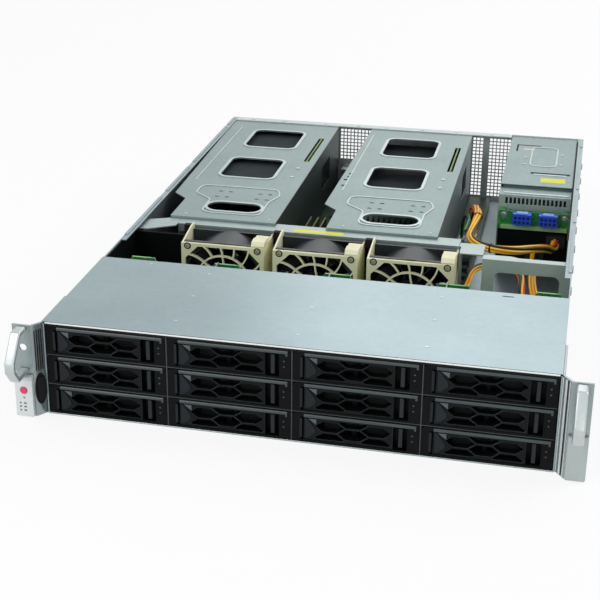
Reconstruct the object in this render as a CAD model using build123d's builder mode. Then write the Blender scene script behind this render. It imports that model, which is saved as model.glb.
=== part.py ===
from build123d import *
import os
from math import radians, tan

os.makedirs("parts", exist_ok=True)

# Two-unit rack server with twelve drive bays, its rear lid off. Millimetres.
# +X is to the right seen from the front, +Y to the rear, +Z up. The origin is on the
# resting plane, under the middle of the whole machine.

# Chassis shell
chassis_width = 434.0
chassis_height = 88.0
chassis_depth = 648.0
sheet = 1.2
cover_length = 153.0
wall_hem = 5.0
hem_start = 203.0
hook_pitch = 55.0
hook_count = 8
hook_length = 9.0
hook_height = 5.0
hook_reach = 1.2
fit_gap = 0.25
seat_gap = 0.2

# Front ears and pull handles
ear_sheet = 2.0
ear_setforward = 9.0
ear_slant_width = 7.0
ear_front_width = 17.3
ear_flange_length = 58.0
ear_margin = 0.8
rack_hole_inset = 8.75
rack_hole_diameter = 6.6
rack_hole_height = 66.2
pull_width = 9.0
pull_reach = 31.0
pull_thickness = 4.5
pull_top = 86.5
pull_bottom = 43.0
panel_depth = 4.0
panel_height = 39.0
power_button_diameter = 6.4
power_button_travel = 1.2
power_button_height = 27.0
reset_hole_diameter = 2.0
reset_drop = 7.0
ear_pad_height = 22.0
ear_pad_width = 8.0
ear_pad_thickness = 1.6

# Drive cage and drive trays
bay_columns = 4
bay_rows = 3
row_pitch = 28.0
cage_depth = 160.0
divider = 1.0
shelf = 0.8
slide_gap = 0.35
tray_setback = 0.6
bezel_depth = 16.0
drive_width = 101.6
drive_height = 24.6
drive_length = 147.0
rail_height = 18.0
top_bar = 3.4
bottom_bar = 1.8
pocket_left = 7.2
pocket_right = 96.5
pocket_depth = 9.0
vent_height = 15.0
lever_pivot = 11.0
lever_length = 73.4
lever_thickness = 6.8
lever_front = 0.6
lever_pin_radius = 1.2
lever_pin_length = 1.0
running_gap = 0.05
hex_half_width = 12.6
hex_half_flat = 6.1
hex_half_height = 4.7
hex_pitch = 19.5
hex_row_pitch = 10.8
hex_first = 31.6
hex_top = 11.2
release_width = 3.6
release_height = 18.0
release_offset = 90.8
release_length = 10.5
release_front = 1.0
release_travel = 2.0

# Backplane
backplane_distance = cage_depth + 9.0
board = 1.8
backplane_height = 78.0
tab_height = 6.0
tab_chamfer = 4.0
tab_spans = ((-197.0, -171.0), (-115.0, -88.0), (-9.0, 18.0), (97.0, 127.0), (185.0, 209.0))
drive_plug_width = 42.0
drive_plug_height = 6.0
drive_plug_depth = 5.5
power_plug_width = 21.0
power_plug_height = 9.0
power_plug_depth = 10.0
power_plug_spots = ((-139.0, 40.0), (-33.0, 40.0), (118.0, 50.0), (178.0, 44.0), (197.0, 44.0))

# Fan modules
fan_distance = backplane_distance + 56.5
fan_pitch = 92.9
fan_middle_x = -26.6
fan_size = 80.0
fan_depth = 38.0
fan_frame_width = 84.0
fan_frame_top = 80.0
fan_frame_sheet = 3.0
fan_wing = 1.8
fan_bore_radius = 38.4
fan_flange = 4.0
guard_ring_radius = 27.0
guard_bar = 1.5
guard_spokes = 16
rotor_tip_radius = 37.2
rotor_hub_radius = 17.0
rotor_depth = 24.0
blade_count = 7
blade_sheet = 1.6
shaft_radius = 1.5
fan_lift = 90.0

# Fan beam
beam_distance = fan_distance + 44.5
beam_depth = 20.0
beam_top = 83.0
beam_sheet = 1.5
beam_lip = 9.0
beam_left = -178.0
beam_right = 108.0
bushing_width = 7.0
bushing_depth = 6.0
bushing_height = 9.0

# Partition bracket to the right of the fans
bracket_distance = beam_distance - 30.0
bracket_left = 133.0
bracket_top = 84.0
bracket_flange = 9.0
bracket_step = 3.0
window_left = 145.0
window_right = 206.0
window_bottom = 10.0
window_top = 71.0
window_radius = 6.0

# Riser cages
riser_top = 85.5
riser_sheet = 1.0
riser_front = beam_distance + 14.0
riser_rear = chassis_depth - 12.0
riser_right = -79.5
riser_spacing = 164.6
riser_rim = 0.8
riser_rim_width = 3.4
riser_window_width = 59.5
riser_window_length = 68.0
riser_window_radius = 9.0
riser_slot_width = 6.4
riser_slot_length = 92.0
riser_windows = (69.0, 183.0)
riser_slot_inset = 99.0
card_thickness = 1.6

# Main board
board_left = -205.0
board_right = 112.0
board_front = beam_distance + 30.0
board_rear = chassis_depth - 14.0
standoff_height = 5.0
standoff_radius = 3.0
heatsink_width = 80.0
heatsink_length = 106.0
heatsink_height = 34.0
heatsink_base = 6.0
fin_sheet = 1.0
fin_count = 14
memory_length = 133.0
memory_height = 31.0
memory_sheet = 1.4
memory_pitch = 8.0
memory_count = 6
port_blocks = ((-66.0, 15.0, 26.0), (-48.0, 15.0, 26.0), (-16.0, 31.0, 12.0), (18.0, 16.0, 14.0))
port_depth = 22.0
port_rim = 1.6
board_headers = ((104.0, 462.0, 12.0, 26.0, 12.0), (93.0, 470.0, 7.0, 14.0, 8.0))

# Power supplies and their cage
cage_left = 133.0
supply_zone_width = 79.0
supply_zone_front = chassis_depth - 210.0
top_plate_front = supply_zone_front + 26.0
supply_cage_sheet = 1.0
supply_width = 74.0
supply_height = 39.6
supply_length = 182.0
supply_gap = 0.4
grip_reach = 22.0
grip_width = 40.0
grip_thickness = 4.0
inlet_width = 24.0
inlet_height = 16.0
inlet_depth = 14.0
power_board_distance = supply_zone_front - 20.0
power_board_top = 71.0
blue_plug_width = 19.5
blue_plug_height = 12.0
blue_plug_depth = 9.0
white_header_spots = ((197.0, 42.0), (176.0, 26.0))

# Rear panel
perforation_pitch = 4.4
perforation_hole = 3.2
slot_cover_height = 13.0
slot_cover_pitch = 20.3
slot_cover_width = 108.0

# Derived places
half_width = chassis_width / 2
inner_half = half_width - sheet
wall_top = chassis_height - sheet
handle_reach = ear_setforward + pull_reach
front_y = handle_reach - (handle_reach + chassis_depth + grip_reach) / 2
bay_pitch = 2 * inner_half / bay_columns
cell_width = bay_pitch - divider
tray_width = cell_width - 2 * slide_gap
tray_height = row_pitch - shelf - 2 * slide_gap
tray_left = -tray_width / 2
cage_top = wall_top - shelf
board_bottom = sheet + standoff_height
board_top = board_bottom + board
port_rear = chassis_depth - 0.4


def behind(distance):
    """Y of a place that many millimetres behind the bay face."""
    return front_y + distance


def bay_floor(row):
    """Height of the surface that a row of trays slides on, counted from the lowest row."""
    return sheet + row * row_pitch


def bay_middle(column):
    """X of the middle of a bay column, counted from the left."""
    return -inner_half + (column + 0.5) * bay_pitch


# Chassis tray: floor, two side walls with hems, and the hooks that the slide rails catch
wall_length = chassis_depth - sheet
with BuildPart() as chassis_tray:
    with BuildSketch(Plane.XY) as floor_outline:
        with Locations((0, behind(wall_length / 2))):
            Rectangle(chassis_width, wall_length)
    extrude(amount=sheet)
    with BuildSketch(Plane.XY.offset(sheet)) as wall_outline:
        with Locations(
            (-half_width + sheet / 2, behind(wall_length / 2)),
            (half_width - sheet / 2, behind(wall_length / 2)),
        ):
            Rectangle(sheet, wall_length)
    extrude(amount=wall_top - sheet)
    hem_length = wall_length - hem_start
    with BuildSketch(Plane.XY.offset(wall_top - sheet)) as hems:
        with Locations(
            (-inner_half + wall_hem / 2, behind(hem_start + hem_length / 2)),
            (inner_half - wall_hem / 2, behind(hem_start + hem_length / 2)),
        ):
            Rectangle(wall_hem, hem_length)
    extrude(amount=sheet)
    long_bottom_edges = chassis_tray.edges().filter_by(Axis.Y).group_by(Axis.Z)[0]
    fillet(long_bottom_edges, radius=0.8 * sheet)
    with BuildSketch(Plane.YZ.offset(-half_width - hook_reach)) as left_hooks:
        with Locations((behind(hem_start + hook_pitch * hook_count / 2), 0.72 * wall_top)):
            with GridLocations(hook_pitch, 0, hook_count, 1):
                Rectangle(hook_length, hook_height)
    extrude(amount=hook_reach)
    with BuildSketch(Plane.YZ.offset(half_width)) as right_hooks:
        with Locations((behind(hem_start + hook_pitch * hook_count / 2), 0.72 * wall_top)):
            with GridLocations(hook_pitch, 0, hook_count, 1):
                Rectangle(hook_length, hook_height)
    extrude(amount=hook_reach)
chassis_tray.part.label = "chassis_tray"
export_step(chassis_tray.part, "parts/chassis_tray.step")

# Rear panel: perforated sheet with the supply bay cut out and blank expansion slot covers
panel_front = behind(chassis_depth - sheet)
supply_mid_x = cage_left + supply_zone_width / 2
supply_bay_bottom = sheet + supply_gap
supply_bay_top = riser_top - supply_cage_sheet
cover_heights = [0.62 * wall_top - slot_cover_pitch * step for step in range(2)]
slot_cover_x = (riser_right - 8 - slot_cover_width / 2, riser_right - 8 - slot_cover_width / 2 + riser_spacing)
grid_columns = (9, 3, 7)
grid_rows = (9, 17, 17)
grid_gap = 7.0
grid_top = wall_top - 8.0
grid_left = (
    riser_right + 2.5,
    riser_right + riser_spacing + 2.5,
    riser_right + riser_spacing + 2.5 + grid_columns[1] * perforation_pitch + grid_gap,
)
with BuildPart() as rear_panel:
    with BuildSketch(Plane.XZ.offset(-panel_front)) as rear_sheet:
        with Locations((0, wall_top / 2)):
            Rectangle(chassis_width, wall_top)
        with Locations((supply_mid_x, (supply_bay_bottom + supply_bay_top) / 2)):
            Rectangle(supply_zone_width, supply_bay_top - supply_bay_bottom, mode=Mode.SUBTRACT)
        for cover_x in slot_cover_x:
            for cover_z in cover_heights:
                with Locations((cover_x, cover_z)):
                    Rectangle(slot_cover_width - 4, slot_cover_height, mode=Mode.SUBTRACT)
        for port_x, port_width, port_height in port_blocks:
            with Locations((port_x, board_top + seat_gap + port_height / 2)):
                Rectangle(port_width + 2 * fit_gap, port_height + 2 * fit_gap, mode=Mode.SUBTRACT)
        for left, columns, rows in zip(grid_left, grid_columns, grid_rows):
            grid_middle = (
                left + (columns - 1) * perforation_pitch / 2,
                grid_top - (rows - 1) * perforation_pitch / 2,
            )
            with Locations(grid_middle):
                with GridLocations(perforation_pitch, perforation_pitch, columns, rows):
                    Rectangle(perforation_hole, perforation_hole, mode=Mode.SUBTRACT)
    extrude(amount=-sheet)
    flange_depth = chassis_depth - sheet - riser_rear - seat_gap
    flange_width = cage_left - 2 * seat_gap + inner_half - wall_hem - seat_gap
    flange_mid_x = (cage_left - 2 * seat_gap - inner_half + wall_hem + seat_gap) / 2
    with BuildSketch(Plane.XY.offset(wall_top - sheet)) as rear_flange:
        with Locations((flange_mid_x, panel_front - flange_depth / 2)):
            Rectangle(flange_width, flange_depth)
    extrude(amount=sheet)
    with BuildSketch(Plane.XZ.offset(-panel_front + seat_gap + sheet)) as slot_covers:
        for cover_x in slot_cover_x:
            for cover_z in cover_heights:
                with Locations((cover_x, cover_z)):
                    RectangleRounded(slot_cover_width, slot_cover_height + 3, 1.5)
    extrude(amount=-sheet)
rear_panel.part.label = "rear_panel"
export_step(rear_panel.part, "parts/rear_panel.step")

# Front cover over the drive cage, with a folded lip along its front edge
with BuildPart() as front_cover:
    with BuildSketch(Plane.XY.offset(wall_top)) as cover_outline:
        with Locations((0, behind(cover_length / 2))):
            Rectangle(chassis_width, cover_length)
    extrude(amount=sheet)
    with BuildSketch(Plane.XY.offset(bay_floor(bay_rows) - shelf)) as lip_outline:
        with Locations((0, behind(sheet / 2))):
            Rectangle(2 * inner_half - 2 * seat_gap, sheet)
    extrude(amount=wall_top - bay_floor(bay_rows) + shelf)
    fold_edge = front_cover.edges().filter_by(Axis.X).group_by(Axis.Z)[-1].sort_by(Axis.Y)[0]
    fillet(fold_edge, radius=0.7 * sheet)
front_cover.part.label = "front_cover"
export_step(front_cover.part, "parts/front_cover.step")

# Drive cage: dividers, shelves and a top plate, each a sheet hooked into the next
shelf_start = sheet + seat_gap
with BuildPart() as drive_cage:
    with BuildSketch(Plane.XY.offset(sheet + seat_gap)) as dividers:
        with Locations((0, behind(backplane_distance / 2 + shelf_start / 2))):
            with GridLocations(bay_pitch, 0, bay_columns - 1, 1):
                Rectangle(divider, backplane_distance - shelf_start)
    extrude(amount=cage_top - sheet - 2 * seat_gap)
    for row in range(1, bay_rows):
        with BuildSketch(Plane.XY.offset(bay_floor(row) - shelf)) as shelves:
            with Locations((0, behind((cage_depth + shelf_start) / 2))):
                with GridLocations(bay_pitch, 0, bay_columns, 1):
                    Rectangle(cell_width - 2 * seat_gap, cage_depth - shelf_start)
        extrude(amount=shelf)
    roof_end = cover_length - sheet
    with BuildSketch(Plane.XY.offset(cage_top)) as cage_roof:
        with Locations((0, behind((shelf_start + roof_end) / 2))):
            Rectangle(2 * inner_half - 2 * seat_gap, roof_end - shelf_start)
    extrude(amount=shelf - seat_gap)
drive_cage.part.label = "drive_cage"
export_step(drive_cage.part, "parts/drive_cage.step")

# One drive tray, about its own middle: bezel, side rails and the disk drive between them
pocket_bottom = bottom_bar
pocket_height = tray_height - top_bar - bottom_bar
rail_thickness = (tray_width - drive_width) / 2 - seat_gap
release_x = tray_left + release_offset
release_z = pocket_bottom + pocket_height / 2
lever_pivot_x = tray_left + lever_pivot
lever_pivot_y = lever_front + lever_thickness / 2
lever_height = pocket_height - 2 * seat_gap
release_back = release_front + release_length
with BuildPart() as tray:
    with BuildSketch(Plane.XZ) as bezel_outline:
        with Locations((0, tray_height / 2)):
            Rectangle(tray_width, tray_height)
    extrude(amount=-bezel_depth)
    bezel_corner = tray.edges().filter_by(Axis.Y).group_by(Axis.Z)[-1].sort_by(Axis.X)[0]
    chamfer(bezel_corner, length=2.0)
    with BuildSketch(Plane.XZ) as pocket_outline:
        with Locations((tray_left + (pocket_left + pocket_right) / 2, pocket_bottom + pocket_height / 2)):
            Rectangle(pocket_right - pocket_left, pocket_height)
    extrude(amount=-pocket_depth, mode=Mode.SUBTRACT)
    with BuildSketch(Plane.XZ) as vent_outline:
        with Locations((tray_left + hex_first + hex_pitch, release_z)):
            with GridLocations(2 * hex_half_width + 4, 0, 2, 1):
                Rectangle(2 * hex_half_width, vent_height)
    extrude(amount=-bezel_depth, mode=Mode.SUBTRACT)
    with BuildSketch(Plane.XZ) as release_guide:
        with Locations((release_x, release_z)):
            Rectangle(release_width + 2 * fit_gap, release_height + 2 * fit_gap)
    extrude(amount=-(release_back + release_travel + fit_gap), mode=Mode.SUBTRACT)
    with BuildSketch(Plane.XY.offset(pocket_bottom - lever_pin_length - seat_gap)) as pin_holes:
        with Locations((lever_pivot_x, lever_pivot_y)):
            Circle(lever_pin_radius + running_gap)
    extrude(amount=pocket_height + 2 * lever_pin_length + 2 * seat_gap, mode=Mode.SUBTRACT)
    with BuildSketch(Plane.XY.offset((tray_height - rail_height) / 2)) as rails:
        with Locations((0, bezel_depth + drive_length / 2)):
            with GridLocations(tray_width - rail_thickness, 0, 2, 1):
                Rectangle(rail_thickness, drive_length)
    extrude(amount=rail_height)
    with BuildSketch(Plane.XY.offset((tray_height - drive_height) / 2)) as drive_outline:
        with Locations((0, bezel_depth + seat_gap + drive_length / 2)):
            Rectangle(drive_width, drive_length)
    extrude(amount=drive_height)

# The tray's lever: a honeycomb handle on two stub pins at its left end
honeycomb = [
    (hex_first, hex_top, False),
    (hex_first, hex_top + hex_row_pitch, True),
    (hex_first + hex_pitch, hex_top - hex_row_pitch / 2, True),
    (hex_first + hex_pitch, hex_top + hex_row_pitch / 2, False),
    (hex_first + 2 * hex_pitch, hex_top, False),
    (hex_first + 2 * hex_pitch, hex_top + hex_row_pitch, True),
]
lever_rim = 1.3
with BuildPart() as lever:
    with BuildSketch(Plane.XY.offset(pocket_bottom + seat_gap)) as lever_plan:
        with Locations((lever_pivot_x + lever_length / 2, lever_pivot_y)):
            Rectangle(lever_length, lever_thickness)
        with Locations((lever_pivot_x, lever_pivot_y)):
            Circle(lever_thickness / 2)
    extrude(amount=lever_height)
    with BuildSketch(Plane.XZ) as hexagons:
        for from_left, from_top, _ in honeycomb:
            with Locations((tray_left + from_left, tray_height - from_top)):
                Polygon(
                    (-hex_half_width, 0),
                    (-hex_half_flat, hex_half_height),
                    (hex_half_flat, hex_half_height),
                    (hex_half_width, 0),
                    (hex_half_flat, -hex_half_height),
                    (-hex_half_flat, -hex_half_height),
                    align=None,
                )
        with Locations((lever_pivot_x + lever_length / 2, release_z)):
            Rectangle(lever_length, lever_height - 2 * lever_rim, mode=Mode.INTERSECT)
    extrude(amount=-pocket_depth, mode=Mode.SUBTRACT)
    with BuildSketch(Plane.XY.offset(pocket_bottom + seat_gap - lever_pin_length)) as pins:
        with Locations((lever_pivot_x, lever_pivot_y)):
            Circle(lever_pin_radius)
    extrude(amount=lever_height + 2 * lever_pin_length)

# The tray's release button, pressed straight in
with BuildPart() as release:
    with BuildSketch(Plane.XZ.offset(-release_front)) as release_face:
        with Locations((release_x, release_z)):
            Rectangle(release_width, release_height)
    extrude(amount=-release_length)
    front_rim = release.faces().sort_by(Axis.Y)[0].edges()
    chamfer(front_rim, length=0.5)

# Every bay gets its own tray, lever and release button
bay_number = 0
for row in reversed(range(bay_rows)):
    for column in range(bay_columns):
        bay_number += 1
        bay_spot = (bay_middle(column), behind(tray_setback), bay_floor(row) + slide_gap)
        with BuildPart() as bay_tray:
            with Locations(bay_spot):
                add(tray.part)
        bay_tray.part.label = f"drive_tray_{bay_number:02d}"
        export_step(bay_tray.part, f"parts/drive_tray_{bay_number:02d}.step")
        with BuildPart() as bay_lever:
            with Locations(bay_spot):
                add(lever.part)
        bay_lever.part.label = f"tray_lever_{bay_number:02d}"
        export_step(bay_lever.part, f"parts/tray_lever_{bay_number:02d}.step")
        with BuildPart() as bay_release:
            with Locations(bay_spot):
                add(release.part)
        bay_release.part.label = f"tray_release_{bay_number:02d}"
        export_step(bay_release.part, f"parts/tray_release_{bay_number:02d}.step")

# Backplane: the board behind the drives, its raised tabs, drive sockets and power sockets
drive_end = tray_setback + bezel_depth + seat_gap + drive_length
socket_depth = backplane_distance - drive_end - 2 * seat_gap
with BuildPart() as backplane:
    with BuildSketch(Plane.XZ.offset(-behind(backplane_distance + seat_gap))) as board_outline:
        with Locations((0, (backplane_height + sheet + seat_gap) / 2)):
            Rectangle(2 * inner_half - 2 * seat_gap, backplane_height - sheet - seat_gap)
        for tab_left, tab_right in tab_spans:
            with BuildLine():
                Polyline(
                    (tab_left - tab_chamfer, backplane_height - tab_chamfer),
                    (tab_left, backplane_height + tab_height - tab_chamfer),
                    (tab_left + tab_chamfer, backplane_height + tab_height),
                    (tab_right, backplane_height + tab_height),
                    (tab_right + tab_chamfer, backplane_height - tab_chamfer),
                    close=True,
                )
            make_face()
    extrude(amount=-board)
    with BuildSketch(Plane.XZ.offset(-behind(backplane_distance))) as drive_sockets:
        for row in range(bay_rows):
            with Locations((0, bay_floor(row) + slide_gap + tray_height / 2)):
                with GridLocations(bay_pitch, 0, bay_columns, 1):
                    Rectangle(drive_plug_width, drive_plug_height)
    extrude(amount=socket_depth)
    with BuildSketch(Plane.XZ.offset(-behind(backplane_distance + board + 2 * seat_gap))) as power_sockets:
        with Locations(*power_plug_spots):
            Rectangle(power_plug_width - 3, power_plug_height)
    extrude(amount=-power_plug_depth)
backplane.part.label = "backplane"
export_step(backplane.part, "parts/backplane.step")


# Ears: a folded plate, the pull handle and the lower panel block
ear_inner = half_width + ear_slant_width
ear_outer = ear_inner + ear_front_width
ear_front = behind(-ear_setforward)
pull_x = ear_outer - rack_hole_inset
panel_front_y = ear_front - panel_depth
panel_bottom = ear_margin + 1.0
panel_mid_x = (ear_inner + ear_outer) / 2 + 0.3
panel_width = ear_front_width - 1.4
pull_front = ear_front - pull_reach
pull_corner = 0.3 * pull_reach
pull_bend = 4.0


def build_ear(side):
    """Ear for side -1 (left) or 1 (right): plate, pull handle and panel block."""
    plate_plan = (
        (side * half_width, behind(ear_flange_length)),
        (side * half_width, behind(tray_setback)),
        (side * ear_inner, ear_front),
        (side * ear_outer, ear_front),
        (side * ear_outer, ear_front + ear_sheet),
        (side * (ear_inner + 0.8 * ear_sheet), ear_front + ear_sheet),
        (side * (half_width + ear_sheet), behind(tray_setback + 0.8)),
        (side * (half_width + ear_sheet), behind(ear_flange_length)),
    )
    with BuildPart() as ear:
        with BuildSketch(Plane.XY.offset(ear_margin)) as ear_plan:
            with BuildLine():
                Polyline(*plate_plan, close=True)
            make_face()
        extrude(amount=chassis_height - 2 * ear_margin)
        with BuildSketch(Plane.XZ.offset(-ear_front)) as rack_hole:
            with Locations((side * pull_x, rack_hole_height)):
                Circle(rack_hole_diameter / 2)
        extrude(amount=-ear_sheet, mode=Mode.SUBTRACT)
        with BuildSketch(Plane.YZ.offset(side * pull_x - pull_width / 2)) as pull_profile:
            with BuildLine():
                Polyline(
                    (ear_front + 2 * pull_thickness, pull_top),
                    (ear_front - 0.45 * pull_reach, pull_top),
                    (pull_front, pull_top - 0.7 * pull_reach),
                    (pull_front, pull_bottom + 1.3 * pull_corner),
                    (pull_front + pull_corner, pull_bottom),
                    (ear_front + 2 * pull_thickness, pull_bottom),
                    close=True,
                )
            make_face()
            fillet(pull_profile.vertices().filter_by(lambda v: v.Y < ear_front), radius=pull_bend)
            offset(amount=-pull_thickness, mode=Mode.SUBTRACT)
            with Locations((ear_front - seat_gap - pull_reach / 2, chassis_height / 2)):
                Rectangle(pull_reach, chassis_height, mode=Mode.INTERSECT)
        extrude(amount=pull_width)
        with BuildSketch(Plane.XZ.offset(-ear_front + seat_gap)) as panel_outline:
            with Locations((side * panel_mid_x, panel_bottom + panel_height / 2)):
                RectangleRounded(panel_width, panel_height, 1.0)
        extrude(amount=panel_depth - seat_gap)
    return ear.part


# The left ear adds the power button's hole, the pinhole under it and the oval side pad
slant_start = Vector(-ear_inner, ear_front)
slant_end = Vector(-half_width, behind(tray_setback))
slant = (slant_end - slant_start).normalized()
pad_plane = Plane(
    origin=(slant_start + slant_end) * 0.5 + Vector(0, 0, panel_bottom + 14 + ear_pad_height / 2),
    x_dir=slant,
    z_dir=slant.cross(Vector(0, 0, 1)),
)
with BuildPart() as left_ear:
    add(build_ear(-1))
    with BuildSketch(Plane.XZ.offset(-ear_front + seat_gap)) as panel_holes:
        with Locations((-panel_mid_x, power_button_height)):
            Circle(power_button_diameter / 2 + fit_gap)
        with Locations((-panel_mid_x, power_button_height - reset_drop)):
            Circle(reset_hole_diameter / 2)
    extrude(amount=panel_depth, mode=Mode.SUBTRACT)
    with BuildSketch(pad_plane.offset(seat_gap)) as ear_pad:
        SlotOverall(ear_pad_height, ear_pad_width, rotation=90)
    extrude(amount=ear_pad_thickness)
left_ear.part.label = "left_ear"
export_step(left_ear.part, "parts/left_ear.step")
right_ear = build_ear(1)
right_ear.label = "right_ear"
export_step(right_ear, "parts/right_ear.step")

# Power button in the left ear's panel, standing a little proud of it
button_proud = 0.8
button_front = panel_front_y - button_proud
button_length = panel_depth + button_proud - seat_gap - power_button_travel - fit_gap
with BuildPart() as power_button:
    with BuildSketch(Plane.XZ.offset(-button_front)) as button_face:
        with Locations((-panel_mid_x, power_button_height)):
            Circle(power_button_diameter / 2)
    extrude(amount=-button_length)
    fillet(power_button.faces().sort_by(Axis.Y)[0].edges(), radius=0.4)
power_button.part.label = "power_button"
export_step(power_button.part, "parts/power_button.step")

# One fan module, about the middle of its front face: grille frame and the fan inside it
fan_axis_z = sheet + seat_gap + fan_size / 2
frame_bottom = sheet + seat_gap
frame_height = fan_frame_top - frame_bottom
housing_front = fan_frame_sheet + seat_gap
motor_radius = 15.0
motor_length = 5.0
shaft_length = 16.0
guard_open = fan_frame_width - 8.0
guard_hub_radius = 10.5
spoke_end = guard_ring_radius + 19.0
outer_spoke = ThreePointArc((guard_ring_radius, 0), (guard_ring_radius + 8.0, 1.6), (spoke_end, 8.0))
inner_spoke = ThreePointArc((guard_hub_radius - 1.0, -4.0), (0.6 * guard_ring_radius, -1.8), (guard_ring_radius, 0))
with BuildPart() as fan_module:
    with BuildSketch(Plane.XZ) as grille:
        with Locations((0, frame_bottom + frame_height / 2)):
            Rectangle(fan_frame_width, frame_height)
        with BuildSketch(mode=Mode.SUBTRACT) as grille_opening:
            with Locations((0, frame_bottom + frame_height / 2)):
                Rectangle(guard_open, frame_height - 6.0)
            chamfer(grille_opening.vertices(), length=13.0)
        with Locations((0, fan_axis_z)):
            Circle(guard_ring_radius + guard_bar / 2)
            Circle(guard_ring_radius - guard_bar / 2, mode=Mode.SUBTRACT)
            with PolarLocations(0, guard_spokes):
                SlotArc(outer_spoke, guard_bar)
            with PolarLocations(0, guard_spokes // 2):
                SlotArc(inner_spoke, guard_bar)
            Circle(guard_hub_radius)
            Circle(guard_hub_radius - guard_bar, mode=Mode.SUBTRACT)
        with Locations((0, frame_bottom + frame_height / 2)):
            Rectangle(fan_frame_width, frame_height, mode=Mode.INTERSECT)
    extrude(amount=-fan_frame_sheet)
    wing_length = beam_distance - fan_distance - 1.0
    with BuildSketch(Plane.XY.offset(frame_bottom)) as wings:
        with Locations((0, wing_length / 2)):
            with GridLocations(fan_frame_width - fan_wing, 0, 2, 1):
                Rectangle(fan_wing, wing_length)
    extrude(amount=frame_height)
    latch_x = fan_frame_width / 2 - 7.0
    with BuildSketch(Plane.YZ.offset(latch_x - 6.0)) as latch_profile:
        with BuildLine():
            Polyline(
                (1.0, fan_frame_top - 1.0),
                (0.5, fan_frame_top + 2.0),
                (4.0, fan_frame_top + 5.5),
                (12.0, fan_frame_top + 6.0),
                (20.0, fan_frame_top + 4.0),
                (26.0, fan_frame_top + 4.0),
                (26.0, fan_frame_top + 1.8),
                (18.0, fan_frame_top + 1.6),
                (10.0, fan_frame_top + 2.6),
                (4.0, fan_frame_top + 2.2),
                (2.6, fan_frame_top + 1.0),
                (2.6, fan_frame_top - 1.0),
                close=True,
            )
        make_face()
    extrude(amount=13.0)
    with BuildSketch(Plane.YZ.offset(-fan_frame_width / 2)) as left_tab:
        with BuildLine():
            Polyline(
                (1.0, fan_frame_top - 0.5),
                (wing_length, fan_frame_top - 0.5),
                (wing_length, fan_frame_top + 5.5),
                (wing_length - 8.0, fan_frame_top + 5.5),
                close=True,
            )
        make_face()
    extrude(amount=fan_wing)
    with BuildSketch(Plane.XZ) as frame_screws:
        with Locations((0, fan_axis_z)):
            with GridLocations(fan_size - 9.0, fan_size - 9.0, 2, 2):
                Circle(2.2)
    extrude(amount=-fan_frame_sheet, mode=Mode.SUBTRACT)
    with BuildSketch(Plane.XZ.offset(-housing_front)) as housing_outline:
        with Locations((0, fan_axis_z)):
            Rectangle(fan_size - 0.4, fan_size - 0.4)
            Rectangle(fan_size, fan_frame_top - frame_bottom, mode=Mode.INTERSECT)
            Circle(fan_bore_radius, mode=Mode.SUBTRACT)
    extrude(amount=-fan_flange)
    with BuildSketch(Plane.XZ.offset(-housing_front)) as barrel:
        with Locations((0, fan_axis_z)):
            Circle(fan_size / 2 - 0.25)
            Circle(fan_bore_radius, mode=Mode.SUBTRACT)
            Rectangle(fan_size, fan_size, mode=Mode.INTERSECT)
    extrude(amount=-fan_depth)
    with BuildSketch(Plane.XZ.offset(-(housing_front + fan_depth - fan_flange))) as rear_flange_outline:
        with Locations((0, fan_axis_z)):
            Rectangle(fan_size - 0.4, fan_size - 0.4)
            Rectangle(fan_size, fan_frame_top - frame_bottom, mode=Mode.INTERSECT)
            Circle(fan_bore_radius, mode=Mode.SUBTRACT)
            Circle(motor_radius)
            with PolarLocations(0, 4, start_angle=45):
                with Locations((fan_bore_radius / 2 + 4.0, 0)):
                    Rectangle(fan_bore_radius - 4.0, 3.0)
    extrude(amount=-fan_flange)
    motor_front = housing_front + fan_depth - fan_flange
    with BuildSketch(Plane.XZ.offset(-(motor_front - shaft_length))) as shaft:
        with Locations((0, fan_axis_z)):
            Circle(shaft_radius)
    extrude(amount=-shaft_length)

# The rotor that spins on the motor's shaft
rotor_front = housing_front + fan_flange
rotor_chord = 20.0
end_play = 1.0
shaft_entry = rotor_front + rotor_depth - (motor_front - shaft_length)
with BuildPart() as blade:
    blade_middle = Plane(origin=(0, rotor_front + rotor_depth / 2, fan_axis_z), x_dir=(1, 0, 0), z_dir=(0, 0, 1))
    with BuildSketch(blade_middle.offset(rotor_hub_radius - 1.5)) as blade_root:
        Rectangle(rotor_chord * 0.8, blade_sheet, rotation=48)
    with BuildSketch(blade_middle.offset(rotor_tip_radius - 0.6)) as blade_tip:
        Rectangle(rotor_chord * 1.2, blade_sheet, rotation=32)
    loft()
with BuildPart() as fan_rotor:
    with BuildSketch(Plane.XZ.offset(-rotor_front)) as hub:
        with Locations((0, fan_axis_z)):
            Circle(rotor_hub_radius)
    extrude(amount=-rotor_depth)
    fillet(fan_rotor.faces().sort_by(Axis.Y)[0].edges(), radius=2.0)
    rotor_axis = Axis((0, 0, fan_axis_z), (0, 1, 0))
    for step in range(blade_count):
        add(blade.part.rotate(rotor_axis, 360.0 / blade_count * step))
    with BuildSketch(Plane.XZ.offset(-(rotor_front + rotor_depth))) as shaft_bore:
        with Locations((0, fan_axis_z)):
            Circle(shaft_radius + running_gap)
    extrude(amount=shaft_entry + end_play, mode=Mode.SUBTRACT)

for fan_number in range(1, 4):
    fan_spot = (fan_middle_x + (fan_number - 2) * fan_pitch, behind(fan_distance), 0)
    with BuildPart() as placed_module:
        with Locations(fan_spot):
            add(fan_module.part)
    placed_module.part.label = f"fan_module_{fan_number}"
    export_step(placed_module.part, f"parts/fan_module_{fan_number}.step")
    with BuildPart() as placed_rotor:
        with Locations(fan_spot):
            add(fan_rotor.part)
    placed_rotor.part.label = f"fan_rotor_{fan_number}"
    export_step(placed_rotor.part, f"parts/fan_rotor_{fan_number}.step")

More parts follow.
